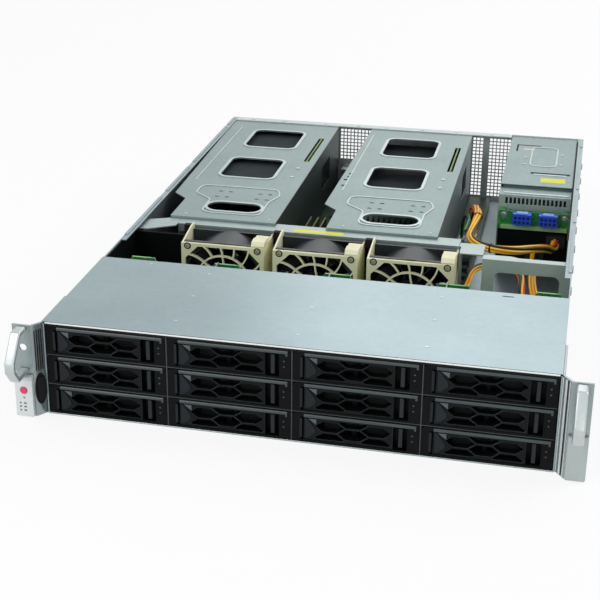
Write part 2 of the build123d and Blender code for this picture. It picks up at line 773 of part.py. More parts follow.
# Fan beam: the channel behind the fans with its end brackets and foot, rubber bushings
# between the modules and the black plate that closes the empty place on the left
baffle_right = fan_middle_x - fan_pitch - fan_frame_width / 2 - 1.5
baffle_distance = beam_distance - 26.0
beam_left_end = -inner_half + seat_gap
beam_right_end = bracket_left - seat_gap
beam_foot_x = beam_right + 2.0
beam_foot_front = bracket_distance + bracket_flange + bracket_step + seat_gap
with BuildPart() as fan_beam:
    with BuildSketch(Plane.YZ.offset(beam_left)) as channel:
        with BuildLine():
            Polyline(
                (behind(beam_distance), beam_top - beam_lip),
                (behind(beam_distance), beam_top),
                (behind(beam_distance + beam_depth), beam_top),
                (behind(beam_distance + beam_depth), beam_top - beam_lip),
                (behind(beam_distance + beam_depth - beam_sheet), beam_top - beam_lip),
                (behind(beam_distance + beam_depth - beam_sheet), beam_top - beam_sheet),
                (behind(beam_distance + beam_sheet), beam_top - beam_sheet),
                (behind(beam_distance + beam_sheet), beam_top - beam_lip),
                close=True,
            )
        make_face()
    extrude(amount=beam_right - beam_left)
    with BuildSketch(Plane.XY.offset(beam_top - beam_sheet)) as end_brackets:
        with BuildLine():
            Polyline(
                (beam_left_end, behind(beam_distance + 2)),
                (beam_left_end, behind(baffle_distance + 4)),
                (beam_left_end + 12, behind(baffle_distance + 4)),
                (beam_left - seat_gap, behind(beam_distance - 6)),
                (beam_left - seat_gap, behind(beam_distance + 0.7 * beam_depth)),
                (beam_left - 10, behind(beam_distance + 0.7 * beam_depth)),
                close=True,
            )
        make_face()
        with BuildLine():
            Polyline(
                (beam_foot_x, behind(beam_foot_front)),
                (beam_right_end, behind(beam_foot_front)),
                (beam_right_end, behind(beam_distance + 0.5 * beam_depth)),
                (beam_right + seat_gap, behind(beam_distance + 0.5 * beam_depth)),
                (beam_right + seat_gap, behind(beam_distance)),
                (beam_foot_x, behind(beam_distance)),
                close=True,
            )
        make_face()
    extrude(amount=beam_sheet)
    with BuildSketch(Plane.XY.offset(sheet + seat_gap)) as posts:
        with Locations(
            (beam_left + beam_sheet / 2, behind(beam_distance + beam_depth / 2)),
            (beam_right - beam_sheet / 2, behind(beam_distance + beam_depth / 2)),
        ):
            Rectangle(beam_sheet, beam_depth - 2 * beam_sheet - 2 * seat_gap)
    extrude(amount=beam_top - beam_sheet - sheet - 2 * seat_gap)
    with BuildSketch(Plane.YZ.offset(beam_foot_x)) as foot:
        foot_length = beam_distance - beam_foot_front
        foot_height = beam_top - beam_sheet - sheet - 2 * seat_gap
        with Locations((behind(beam_foot_front + foot_length / 2), sheet + seat_gap + foot_height / 2)):
            Rectangle(foot_length, foot_height)
            Rectangle(foot_length - 8, foot_height - 40, mode=Mode.SUBTRACT)
    extrude(amount=beam_sheet)
    with BuildSketch(Plane.XY.offset(beam_top + 1 - bushing_height)) as bushings:
        with Locations((fan_middle_x - fan_pitch / 2, behind(beam_distance - bushing_depth / 2 - seat_gap))):
            with GridLocations(fan_pitch, 0, 3, 1):
                Rectangle(bushing_width, bushing_depth)
    extrude(amount=bushing_height)
    with BuildSketch(Plane.XY.offset(sheet + seat_gap)) as baffle:
        with Locations(((beam_left_end + baffle_right) / 2, behind(baffle_distance))):
            Rectangle(baffle_right - beam_left_end, beam_sheet)
    extrude(amount=beam_top - beam_sheet - sheet - 2 * seat_gap)
fan_beam.part.label = "fan_beam"
export_step(fan_beam.part, "parts/fan_beam.step")

# Partition bracket: front plate with a window, stepped top flange and left side plate
bracket_right = inner_half - seat_gap
bracket_bottom = sheet + seat_gap
with BuildPart() as side_bracket:
    with BuildSketch(Plane.XZ.offset(-behind(bracket_distance))) as bracket_face:
        with Locations(((bracket_left + bracket_right) / 2, (bracket_top + bracket_bottom) / 2)):
            Rectangle(bracket_right - bracket_left, bracket_top - bracket_bottom)
        with Locations(((window_left + window_right) / 2, (window_bottom + window_top) / 2)):
            RectangleRounded(
                window_right - window_left,
                window_top - window_bottom,
                window_radius,
                mode=Mode.SUBTRACT,
            )
    extrude(amount=-sheet)
    flange_y = behind(bracket_distance)
    with BuildSketch(Plane.XY.offset(bracket_top - sheet)) as bracket_flange_plan:
        with BuildLine():
            Polyline(
                (bracket_left, flange_y),
                (bracket_left, flange_y + bracket_flange),
                (bracket_left + 4, flange_y + bracket_flange + bracket_step),
                (bracket_left + 26, flange_y + bracket_flange + bracket_step),
                (bracket_left + 34, flange_y + bracket_flange),
                (bracket_right, flange_y + bracket_flange),
                (bracket_right, flange_y),
                close=True,
            )
        make_face()
    extrude(amount=sheet)
    with BuildSketch(Plane.XY.offset(bracket_bottom)) as bracket_side:
        with Locations((bracket_left + sheet / 2, flange_y + bracket_flange / 2)):
            Rectangle(sheet, bracket_flange)
    extrude(amount=bracket_top - bracket_bottom)
side_bracket.part.label = "side_bracket"
export_step(side_bracket.part, "parts/side_bracket.step")

# Riser cages: two pressings that differ in their left edge, each with its riser card and
# the expansion card that lies under its windows
cage_plate_bottom = riser_top - riser_sheet
oblong_length = 57.0
oblong_width = 26.0
hole_length = 5.0
hole_width = 2.6
lip_drop = cage_plate_bottom - beam_top - seat_gap


def build_riser_cage(right_edge, left_front, left_notch, left_rear, card_height):
    """Riser cage whose right wall stands at right_edge, with left edges at three depths."""
    window_x = right_edge - 65.3
    card_x = right_edge - 11.1
    card_middle = behind(riser_rear - riser_slot_inset)
    window_spots = [(window_x, behind(riser_rear - inset)) for inset in riser_windows]
    oblong_spot = (right_edge - 52.5, behind(riser_front + 37))
    hole_row = behind(riser_front + 76)
    with BuildPart() as cage:
        with BuildSketch(Plane.XY.offset(cage_plate_bottom)) as plate:
            with BuildLine():
                Polyline(
                    (left_front, behind(riser_front)),
                    (right_edge, behind(riser_front)),
                    (right_edge, behind(riser_rear)),
                    (left_rear, behind(riser_rear)),
                    (left_notch, behind(riser_front + 70)),
                    (left_front, behind(riser_front + 54)),
                    close=True,
                )
            make_face()
            with Locations(*window_spots):
                RectangleRounded(
                    riser_window_width, riser_window_length, riser_window_radius, mode=Mode.SUBTRACT
                )
            with Locations(oblong_spot):
                SlotOverall(oblong_length, oblong_width, mode=Mode.SUBTRACT)
            with Locations((right_edge - 73.9, hole_row), (right_edge - 30.3, hole_row)):
                with GridLocations(11.0, 17.0, 2, 2):
                    SlotOverall(hole_length, hole_width, mode=Mode.SUBTRACT)
            with Locations((card_x, card_middle)):
                Rectangle(riser_slot_width, riser_slot_length, mode=Mode.SUBTRACT)
        extrude(amount=riser_sheet)
        with BuildSketch(Plane.XY.offset(riser_top)) as rims:
            with Locations(*window_spots):
                RectangleRounded(
                    riser_window_width + 2 * riser_rim_width,
                    riser_window_length + 2 * riser_rim_width,
                    riser_window_radius + riser_rim_width,
                )
                RectangleRounded(
                    riser_window_width, riser_window_length, riser_window_radius, mode=Mode.SUBTRACT
                )
            with Locations(oblong_spot):
                SlotOverall(oblong_length + 2 * riser_rim_width, oblong_width + 2 * riser_rim_width)
                SlotOverall(oblong_length, oblong_width, mode=Mode.SUBTRACT)
        extrude(amount=riser_rim)
        with BuildSketch(Plane.XY.offset(cage_plate_bottom - lip_drop)) as front_lip:
            with Locations(((left_front + right_edge) / 2, behind(riser_front + riser_sheet / 2))):
                Rectangle(right_edge - left_front, riser_sheet)
        extrude(amount=lip_drop)
        wall_front = beam_distance + beam_depth + 1.0
        wall_foot = board_top + 1.0
        wall_head = cage_plate_bottom - seat_gap
        with BuildSketch(Plane.YZ.offset(right_edge - riser_sheet)) as cage_wall:
            with Locations((behind((wall_front + riser_rear) / 2), (wall_foot + wall_head) / 2)):
                Rectangle(riser_rear - wall_front, wall_head - wall_foot)
            with Locations((behind(riser_rear - 81), 52.0)):
                Rectangle(46.0, 28.0, mode=Mode.SUBTRACT)
            with Locations((behind(riser_front + 66), 24.0)):
                Rectangle(70.0, 24.0, mode=Mode.SUBTRACT)
        extrude(amount=riser_sheet)
        with BuildSketch(Plane.YZ.offset(card_x - card_thickness / 2)) as riser_card:
            with Locations((card_middle, (board_top + 2 + riser_top) / 2)):
                Rectangle(riser_slot_length - 4, riser_top - board_top - 2)
        extrude(amount=card_thickness)
        card_right = card_x - card_thickness / 2 - seat_gap
        card_left = window_x - riser_window_width / 2 - 6
        with BuildSketch(Plane.XY.offset(card_height)) as expansion_card:
            with Locations(((card_left + card_right) / 2, card_middle - 16.0)):
                Rectangle(card_right - card_left, 204.0)
        extrude(amount=card_thickness)
    return cage.part


riser_cage_left = build_riser_cage(riser_right, -190.0, -206.0, -212.0, 78.0)
riser_cage_left.label = "riser_cage_left"
export_step(riser_cage_left, "parts/riser_cage_left.step")
riser_cage_middle = build_riser_cage(riser_right + riser_spacing, -27.0, -42.0, -38.0, 70.0)
riser_cage_middle.label = "riser_cage_middle"
export_step(riser_cage_middle, "parts/riser_cage_middle.step")

# Main board on its standoffs, with riser sockets, heatsinks, memory and rear sockets
riser_socket_x = [riser_right - 11.1, riser_right + riser_spacing - 11.1]
memory_left = riser_right + 7.0
with BuildPart() as main_board:
    with BuildSketch(Plane.XY.offset(sheet)) as standoffs:
        with Locations(((board_left + board_right) / 2, behind((board_front + board_rear) / 2))):
            with GridLocations((board_right - board_left) - 20, (board_rear - board_front) - 20, 2, 2):
                Circle(standoff_radius)
    extrude(amount=standoff_height)
    with BuildSketch(Plane.XY.offset(board_bottom)) as board_plan:
        with Locations(((board_left + board_right) / 2, behind((board_front + board_rear) / 2))):
            Rectangle(board_right - board_left, board_rear - board_front)
    extrude(amount=board)
    for socket_x in riser_socket_x:
        with BuildSketch(Plane.XY.offset(board_top + seat_gap)) as riser_socket:
            with Locations((socket_x, behind(riser_rear - riser_slot_inset))):
                Rectangle(8.0, riser_slot_length + 4)
                Rectangle(card_thickness + 2 * seat_gap, riser_slot_length - 2, mode=Mode.SUBTRACT)
        extrude(amount=11.0)
    for sink_x in (riser_right - 70, riser_right + riser_spacing - 55):
        with BuildSketch(Plane.XY.offset(board_top + seat_gap)) as sink_base:
            with Locations((sink_x, behind(board_front + 92))):
                Rectangle(heatsink_width, heatsink_length)
        extrude(amount=heatsink_base)
        with BuildSketch(Plane.XY.offset(board_top + seat_gap + heatsink_base)) as fins:
            with Locations((sink_x, behind(board_front + 92))):
                with GridLocations((heatsink_width - fin_sheet) / (fin_count - 1), 0, fin_count, 1):
                    Rectangle(fin_sheet, heatsink_length)
        extrude(amount=heatsink_height - heatsink_base)
    with BuildSketch(Plane.XY.offset(board_top + seat_gap)) as memory_modules:
        memory_middle = memory_left + memory_pitch * (memory_count - 1) / 2
        with Locations((memory_middle, behind(board_front + 4 + memory_length / 2))):
            with GridLocations(memory_pitch, 0, memory_count, 1):
                Rectangle(memory_sheet, memory_length)
    extrude(amount=memory_height)
    for header_x, header_distance, header_width, header_length, header_height in board_headers:
        with BuildSketch(Plane.XY.offset(board_top + seat_gap)) as board_header:
            with Locations((header_x, behind(header_distance))):
                Rectangle(header_width, header_length)
        extrude(amount=header_height)
    for port_x, port_width, port_height in port_blocks:
        port_middle_z = board_top + seat_gap + port_height / 2
        with BuildSketch(Plane.XZ.offset(-behind(port_rear))) as port_block:
            with Locations((port_x, port_middle_z)):
                Rectangle(port_width, port_height)
        extrude(amount=port_depth)
        with BuildSketch(Plane.XZ.offset(-behind(port_rear))) as port_mouth:
            with Locations((port_x, port_middle_z)):
                Rectangle(port_width - 2 * port_rim, port_height - 2 * port_rim)
                Rectangle(port_width, port_rim, mode=Mode.SUBTRACT)
        extrude(amount=0.6 * port_depth, mode=Mode.SUBTRACT)
main_board.part.label = "main_board"
export_step(main_board.part, "parts/main_board.step")

# Power supply cage: side walls, shelf, slotted top plate, stepped lip and vent wall
cage_right = cage_left + supply_zone_width
supply_cage_rear = chassis_depth - sheet - seat_gap
cage_foot = sheet + seat_gap
lower_supply_z = sheet + 2 * supply_gap
shelf_z = lower_supply_z + supply_height + supply_gap
upper_supply_z = shelf_z + supply_cage_sheet + supply_gap
step_top = riser_top - 3.5
slat_pitch = 4.4
slat_count = 15
with BuildPart() as supply_cage:
    with BuildSketch(Plane.XY.offset(cage_foot)) as cage_sides:
        with Locations((supply_mid_x, behind((supply_zone_front + supply_cage_rear) / 2))):
            with GridLocations(supply_zone_width - supply_cage_sheet, 0, 2, 1):
                Rectangle(supply_cage_sheet, supply_cage_rear - supply_zone_front)
    extrude(amount=step_top - cage_foot)
    with BuildSketch(Plane.XY.offset(step_top - supply_cage_sheet)) as upper_sides:
        with Locations((supply_mid_x, behind((top_plate_front + supply_cage_rear) / 2))):
            with GridLocations(supply_zone_width - supply_cage_sheet, 0, 2, 1):
                Rectangle(supply_cage_sheet, supply_cage_rear - top_plate_front)
    extrude(amount=riser_top - step_top)
    with BuildSketch(Plane.XY.offset(riser_top - supply_cage_sheet)) as top_plate:
        with Locations((supply_mid_x, behind((top_plate_front + supply_cage_rear) / 2))):
            Rectangle(supply_zone_width, supply_cage_rear - top_plate_front)
        with Locations((cage_left + 22.0, behind(riser_rear - 24))):
            Rectangle(28.0, 3.0, mode=Mode.SUBTRACT)
        with Locations((cage_left + 9.0, behind(riser_rear - 36))):
            Rectangle(2.0, 26.0, mode=Mode.SUBTRACT)
        with Locations((cage_left + 51.0, behind(riser_rear - 128))):
            Rectangle(43.0, 6.0, mode=Mode.SUBTRACT)
    extrude(amount=supply_cage_sheet)
    with BuildSketch(Plane.XY.offset(step_top - supply_cage_sheet)) as step_plate:
        with Locations((supply_mid_x, behind((supply_zone_front + top_plate_front) / 2))):
            Rectangle(supply_zone_width, top_plate_front - supply_zone_front)
    extrude(amount=supply_cage_sheet)
    with BuildSketch(Plane.XY.offset(shelf_z)) as supply_shelf:
        with Locations((supply_mid_x, behind((supply_zone_front + supply_cage_rear) / 2))):
            Rectangle(supply_zone_width, supply_cage_rear - supply_zone_front)
    extrude(amount=supply_cage_sheet)
    with BuildSketch(Plane.XZ.offset(-behind(supply_zone_front))) as vent_wall:
        with Locations((supply_mid_x, (cage_foot + step_top) / 2)):
            Rectangle(supply_zone_width, step_top - cage_foot)
        with Locations((supply_mid_x, step_top - 6.5)):
            with GridLocations(slat_pitch, 0, slat_count, 1):
                Rectangle(0.6 * slat_pitch, 7.0, mode=Mode.SUBTRACT)
        with Locations((supply_mid_x, 22.0), (supply_mid_x, 58.0)):
            Rectangle(supply_zone_width - 24, 14.0, mode=Mode.SUBTRACT)
    extrude(amount=-supply_cage_sheet)
supply_cage.part.label = "supply_cage"
export_step(supply_cage.part, "parts/supply_cage.step")

# One power supply, about the middle of its underside at its rear face: shell, inner board,
# fan guard, mains inlet with three pins, grip and edge connector
shell = 1.0
inlet_x = -supply_width / 2 + 19.0
inlet_z = supply_height / 2
supply_fan_radius = 14.0
supply_fan_x = supply_width / 2 - supply_fan_radius - 6.0
grip_x = supply_width / 2 - grip_width / 2
with BuildPart() as supply:
    with BuildSketch(Plane.XY) as supply_outline:
        with Locations((0, -supply_length / 2)):
            Rectangle(supply_width, supply_length)
    extrude(amount=supply_height)
    with BuildSketch(Plane.XY.offset(shell)) as supply_hollow:
        with Locations((0, -supply_length / 2)):
            Rectangle(supply_width - 2 * shell, supply_length - 2 * shell)
    extrude(amount=supply_height - 2 * shell, mode=Mode.SUBTRACT)
    with BuildSketch(Plane.XZ.offset(shell)) as inlet_body:
        with Locations((inlet_x, inlet_z)):
            Rectangle(inlet_width + 4, inlet_height + 4)
    extrude(amount=inlet_depth + 2)
    with BuildSketch(Plane.XZ) as inlet_mouth:
        with Locations((inlet_x, inlet_z)):
            RectangleRounded(inlet_width, inlet_height, 2.5)
    extrude(amount=inlet_depth, mode=Mode.SUBTRACT)
    with BuildSketch(Plane.XZ.offset(inlet_depth)) as inlet_pins:
        with Locations((inlet_x, inlet_z)):
            with Locations((-7.0, -2.0), (7.0, -2.0), (0, 3.0)):
                Rectangle(2.0, 4.0)
    extrude(amount=-0.6 * inlet_depth)
    with BuildSketch(Plane.XZ) as fan_opening:
        with Locations((supply_fan_x, inlet_z)):
            Circle(supply_fan_radius)
            for ring_radius in (supply_fan_radius - 4.0, supply_fan_radius - 9.0):
                Circle(ring_radius, mode=Mode.SUBTRACT)
                Circle(ring_radius - 1.2)
            with PolarLocations(0, 4):
                Rectangle(2 * supply_fan_radius, 1.4, mode=Mode.SUBTRACT)
    extrude(amount=shell, mode=Mode.SUBTRACT)
    with BuildSketch(Plane.XY.offset(inlet_z - grip_thickness / 2)) as grip_outline:
        with Locations((grip_x, grip_reach / 2)):
            Rectangle(grip_width, grip_reach)
        with Locations((grip_x, (grip_reach - grip_thickness) / 2)):
            Rectangle(grip_width - 2 * grip_thickness, grip_reach - grip_thickness, mode=Mode.SUBTRACT)
    extrude(amount=grip_thickness)
    grip_corners = supply.edges().filter_by(Axis.Z).group_by(Axis.Y)[-1]
    fillet(grip_corners, radius=3.0)
    with BuildSketch(Plane.XY.offset(0.3 * supply_height)) as supply_board:
        with Locations((0, -supply_length / 2 - inlet_depth / 2 - 2)):
            Rectangle(supply_width - 2 * shell - 2 * seat_gap, supply_length - inlet_depth - 12)
    extrude(amount=card_thickness)
    with BuildSketch(Plane.XY.offset(0.3 * supply_height + card_thickness)) as supply_core:
        with Locations((0, -0.6 * supply_length)):
            Rectangle(0.6 * supply_width, 0.4 * supply_length)
    extrude(amount=0.5 * supply_height)

supply_rear_y = behind(chassis_depth)
with BuildPart() as supply_lower:
    with Locations((supply_mid_x, supply_rear_y, lower_supply_z)):
        add(supply.part)
supply_lower.part.label = "supply_lower"
export_step(supply_lower.part, "parts/supply_lower.step")
with BuildPart() as supply_upper:
    with Locations((supply_mid_x, supply_rear_y, upper_supply_z)):
        add(supply.part)
supply_upper.part.label = "supply_upper"
export_step(supply_upper.part, "parts/supply_upper.step")

# Power distribution board in front of the vent wall, on four spacers, with two blue sockets
power_board_width = supply_zone_width - 4.0
blue_plug_z = power_board_top - blue_plug_height / 2 - 0.5
blue_plug_gap = 27.5
spacer_length = supply_zone_front - power_board_distance - board - seat_gap
with BuildPart() as power_board:
    with BuildSketch(Plane.XZ.offset(-behind(power_board_distance))) as power_board_outline:
        with Locations((supply_mid_x, (cage_foot + power_board_top) / 2)):
            Rectangle(power_board_width, power_board_top - cage_foot)
    extrude(amount=-board)
    with BuildSketch(Plane.XZ.offset(-behind(power_board_distance + board))) as spacers:
        with Locations((supply_mid_x, (cage_foot + power_board_top) / 2)):
            with GridLocations(power_board_width - 8, power_board_top - cage_foot - 10, 2, 2):
                Circle(standoff_radius)
    extrude(amount=-spacer_length)
    with BuildSketch(Plane.XZ.offset(-behind(power_board_distance - seat_gap))) as blue_sockets:
        with Locations((supply_mid_x + 1.5, blue_plug_z)):
            with GridLocations(blue_plug_gap, 0, 2, 1):
                Rectangle(blue_plug_width, blue_plug_height)
    extrude(amount=blue_plug_depth)
    with BuildSketch(Plane.XZ.offset(-behind(power_board_distance - seat_gap))) as white_headers:
        with Locations(*white_header_spots):
            Rectangle(blue_plug_width, blue_plug_height)
    extrude(amount=blue_plug_depth)
power_board.part.label = "power_board"
export_step(power_board.part, "parts/power_board.step")

# Wire harness: each bundle is a round tube along its route, straight runs joined by arcs.
# A route lists X, the distance behind the bay face, and Z.
bundles = {
    "main": (
        9.0,
        (
            (104.0, 462.0, 20.4),
            (104.0, 462.0, 41.3),
            (105.5, 453.7, 55.7),
            (109.0, 439.3, 64.0),
            (114.5, 415.0, 65.0),
            (113.5, 389.0, 64.0),
            (112.0, 365.0, 63.0),
            (112.0, 349.1, 62.0),
            (119.2, 335.0, 62.0),
            (132.0, 325.6, 62.0),
            (147.7, 323.2, 62.0),
            (162.7, 328.1, 61.0),
            (176.0, 341.6, 59.0),
            (190.0, 360.0, 54.0),
            (197.0, 384.0, 42.0),
            (197.0, 408.6, 42.0),
        ),
    ),
    "drive": (
        8.0,
        (
            (176.0, 408.6, 26.0),
            (176.0, 386.0, 26.0),
            (180.0, 362.0, 32.0),
            (185.0, 338.0, 43.0),
            (186.0, 316.0, 53.0),
            (182.0, 296.0, 59.0),
            (179.0, 272.0, 60.0),
            (181.0, 248.0, 56.0),
            (188.0, 222.0, 49.5),
            (197.0, 201.0, 44.0),
            (197.0, 181.6, 44.0),
        ),
    ),
    "jumper": (
        7.0,
        (
            (118.0, 181.6, 50.0),
            (118.0, 200.0, 50.0),
            (119.0, 221.0, 54.5),
            (120.5, 240.0, 59.0),
            (121.5, 258.6, 62.0),
            (128.1, 269.9, 63.5),
            (139.4, 276.5, 64.0),
            (152.6, 276.5, 64.0),
            (163.9, 269.9, 63.0),
            (170.5, 258.6, 61.0),
            (171.5, 240.0, 57.0),
            (174.0, 221.0, 51.0),
            (178.0, 201.0, 44.0),
            (178.0, 181.6, 44.0),
        ),
    ),
    "signal": (
        4.0,
        (
            (93.0, 470.0, 16.4),
            (93.0, 470.0, 33.0),
            (97.0, 452.0, 48.0),
            (101.0, 432.0, 57.0),
            (105.5, 410.0, 62.0),
            (106.6, 389.0, 64.0),
            (105.2, 368.0, 63.0),
        ),
    ),
}


def bundle_path(route):
    """Radius of each corner of a route: 0.45 of its shorter run over the half turn's tangent."""
    points = [Vector(x, behind(y), z) for x, y, z in route]
    radii = []
    for before, corner, after in zip(points, points[1:], points[2:]):
        turn = (corner - before).get_angle(after - corner)
        shorter = min((corner - before).length, (after - corner).length)
        radii.append(0.45 * shorter / tan(radians(turn / 2)))
    return points, radii


with BuildPart() as wire_harness:
    for bundle_name, (diameter, route) in bundles.items():
        points, radii = bundle_path(route)
        print(bundle_name, "arc radii", [round(radius) for radius in radii])
        with BuildLine() as path:
            FilletPolyline(*points, radius=radii)
        with BuildSketch(path.line ^ 0) as bundle_section:
            Circle(diameter / 2)
        sweep()
wire_harness.part.label = "wire_harness"
export_step(wire_harness.part, "parts/wire_harness.step")
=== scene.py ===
"""Two-unit rack server with its rear lid off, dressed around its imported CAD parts."""

import logging
import math
from dataclasses import dataclass, field
from enum import Enum
from typing import Callable, Iterable, Sequence

import bpy
from mathutils import Matrix, Vector


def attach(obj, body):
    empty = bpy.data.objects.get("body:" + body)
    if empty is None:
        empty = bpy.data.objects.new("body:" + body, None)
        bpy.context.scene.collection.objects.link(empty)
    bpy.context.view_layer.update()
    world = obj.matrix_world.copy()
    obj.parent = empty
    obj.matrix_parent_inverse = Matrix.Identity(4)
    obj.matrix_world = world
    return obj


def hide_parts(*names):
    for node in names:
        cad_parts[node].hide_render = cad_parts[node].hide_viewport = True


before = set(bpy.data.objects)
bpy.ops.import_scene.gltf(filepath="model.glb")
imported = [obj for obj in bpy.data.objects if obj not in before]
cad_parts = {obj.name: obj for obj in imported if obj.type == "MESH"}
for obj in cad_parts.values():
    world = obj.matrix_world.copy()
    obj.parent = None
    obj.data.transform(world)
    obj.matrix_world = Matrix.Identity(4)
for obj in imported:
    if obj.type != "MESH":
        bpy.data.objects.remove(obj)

LOG = logging.getLogger("rack_server")
MM = 0.001
BAY_FACE_Y = -315.0
# Depths in millimetres: a head or strip sunk into its face, a film or mark sunk into it, a film standing out
SEAT = 0.05
FILM_SEAT = 0.02
FILM = 0.12
# Angles in degrees: edges over the first are bevelled, faces under the others are shaded smooth
SHARP_ANGLE = 40.0
SMOOTH_ANGLE = 35.0
TUBE_ANGLE = 60.0
Point = tuple[float, float, float]
Flat = tuple[float, float]


# Small helpers


def behind(distance: float) -> float:
    """Y in millimetres of a place that far behind the bay face."""
    return BAY_FACE_Y + distance


def metres(point: Iterable[float]) -> Vector:
    """Turn a point in millimetres into metres."""
    return Vector([value * MM for value in point])


def linear(hex_colour: str) -> tuple[float, float, float, float]:
    """Turn an sRGB hex colour into linear light.

    Args:
        hex_colour: Six hex digits after a hash.

    Returns:
        Linear red, green and blue, and full opacity.
    """
    channels = [int(hex_colour[i : i + 2], 16) / 255 for i in (1, 3, 5)]
    lit = [c / 12.92 if c <= 0.04045 else ((c + 0.055) / 1.055) ** 2.4 for c in channels]
    return (*lit, 1.0)


def clear_selection() -> None:
    """Leave edit mode and deselect everything."""
    if bpy.context.object and bpy.context.object.mode != "OBJECT":
        bpy.ops.object.mode_set(mode="OBJECT")
    for other in bpy.context.selected_objects:
        other.select_set(False)


def choose(*objects: bpy.types.Object) -> None:
    """Select these objects alone and make the first one active."""
    clear_selection()
    for obj in objects:
        obj.select_set(True)
    bpy.context.view_layer.objects.active = objects[0]


def settle(obj: bpy.types.Object) -> bpy.types.Object:
    """Move an object's place into its mesh."""
    choose(obj)
    bpy.ops.object.transform_apply(location=True, rotation=True, scale=True)
    return obj


def apply_modifier(obj: bpy.types.Object, kind: str, **settings: object) -> bpy.types.Object:
    """Add a modifier, set it and apply it.

    Args:
        obj: The mesh object.
        kind: Blender's name of the modifier.
        settings: Its properties.

    Returns:
        The same object.
    """
    choose(obj)
    modifier = obj.modifiers.new(kind.lower(), kind)
    for key, value in settings.items():
        setattr(modifier, key, value)
    bpy.ops.object.modifier_apply(modifier=modifier.name)
    return obj


def round_edges(obj: bpy.types.Object, width: float, material: int = -1) -> bpy.types.Object:
    """Bevel the sharp edges of a piece and smooth its shading.

    Args:
        obj: The piece.
        width: Width of the bevel in millimetres, 0 for none.
        material: Material slot of the bevel, -1 for that of its neighbours.

    Returns:
        The same piece.
    """
    if width <= 0:
        return obj
    apply_modifier(
        obj,
        "BEVEL",
        width=width * MM,
        segments=2,
        limit_method="ANGLE",
        angle_limit=math.radians(SHARP_ANGLE),
        harden_normals=False,
        use_clamp_overlap=True,
        material=material,
    )
    return smooth(obj)


def smooth(obj: bpy.types.Object, angle: float = SMOOTH_ANGLE) -> bpy.types.Object:
    """Smooth the shading of faces that meet under an angle in degrees."""
    choose(obj)
    bpy.ops.object.shade_smooth_by_angle(angle=math.radians(angle))
    return apply_modifier(obj, "WEIGHTED_NORMAL", keep_sharp=True, weight=100)


def paint(obj: bpy.types.Object, finish: "Finish | None") -> bpy.types.Object:
    """Give a whole piece one finish, if any."""
    if finish:
        obj.data.materials.clear()
        obj.data.materials.append(finish.material())
    return obj


def join(name: str, pieces: Sequence[bpy.types.Object]) -> bpy.types.Object:
    """Join pieces into one object of that name, keeping each one's finish."""
    choose(*pieces)
    if len(pieces) > 1:
        bpy.ops.object.join()
    obj = bpy.context.view_layer.objects.active
    obj.name = name
    return obj


def copy_at(source: bpy.types.Object, name: str, offset: Point) -> bpy.types.Object:
    """Copy a piece with its own mesh, shifted by an offset in millimetres."""
    mesh = source.data.copy()
    mesh.transform(Matrix.Translation(metres(offset)))
    obj = bpy.data.objects.new(name, mesh)
    bpy.context.scene.collection.objects.link(obj)
    return obj


def discard(*objects: bpy.types.Object) -> None:
    """Remove pieces that only served as patterns."""
    for obj in objects:
        bpy.data.objects.remove(obj)


def block(name: str, finish: "Finish | None", low: Point, high: Point, edge: float = 0.3) -> bpy.types.Object:
    """Box between two corners in millimetres, with rounded edges.

    Args:
        name: Name of the piece.
        finish: Its finish.
        low: Lowest corner.
        high: Highest corner.
        edge: Edge radius.

    Returns:
        The piece.
    """
    clear_selection()
    bpy.ops.mesh.primitive_cube_add(size=1.0, location=metres([(a + b) / 2 for a, b in zip(low, high)]))
    obj = bpy.context.active_object
    obj.name = name
    obj.scale = [(b - a) * MM for a, b in zip(low, high)]
    return paint(round_edges(settle(obj), edge), finish)


class Lie(Enum):
    """The plane that an outline is drawn in, and the way it is thickened."""

    FLOOR = "x, y drawn, thickened along +Z"
    FRONT = "x, z drawn, thickened along +Y"
    SIDE = "y, z drawn, thickened along +X"

    def place(self, flat: Flat, depth: float) -> Vector:
        """Point in metres of a drawn point at that depth."""
        if self is Lie.FLOOR:
            return metres((flat[0], flat[1], depth))
        if self is Lie.FRONT:
            return metres((flat[0], depth, flat[1]))
        return metres((depth, flat[0], flat[1]))


def sheet(name: str, outline: Sequence[Flat], lie: Lie, depth: float) -> bpy.types.Object:
    """One flat face with a drawn outline, left in edit mode with all of it selected.

    Args:
        name: Name of the piece.
        outline: Corners in millimetres, in order.
        lie: The plane it is drawn in.
        depth: Its place across that plane.

    Returns:
        The face's object.
    """
    clear_selection()
    bpy.ops.mesh.primitive_circle_add(vertices=len(outline), radius=1.0, fill_type="NGON")
    obj = bpy.context.active_object
    obj.name = name
    for vertex, corner in zip(obj.data.vertices, outline):
        vertex.co = lie.place(corner, depth)
    choose(obj)
    bpy.ops.object.mode_set(mode="EDIT")
    bpy.ops.mesh.select_all(action="SELECT")
    return obj


def thicken(along: Vector) -> None:
    """Extrude the mesh that is being edited by a vector in metres, and close edit mode on outward normals."""
    bpy.ops.mesh.extrude_region_move(TRANSFORM_OT_translate={"value": along})
    bpy.ops.mesh.select_all(action="SELECT")
    bpy.ops.mesh.normals_make_consistent(inside=False)
    bpy.ops.object.mode_set(mode="OBJECT")


def plate(
    name: str,
    finish: "Finish | None",
    outline: Sequence[Flat],
    lie: Lie,
    start: float,
    end: float,
    edge: float = 0.2,
) -> bpy.types.Object:
    """Plate with a drawn outline, from one depth to another, with rounded edges.

    Args:
        name: Name of the piece.
        finish: Its finish.
        outline: Corners in millimetres, in order.
        lie: The plane it is drawn in.
        start: Depth of its first face.
        end: Depth of its second face.
        edge: Edge radius.

    Returns:
        The piece.
    """
    obj = sheet(name, outline, lie, start)
    thicken(lie.place((0.0, 0.0), end - start))
    return paint(round_edges(obj, edge), finish)


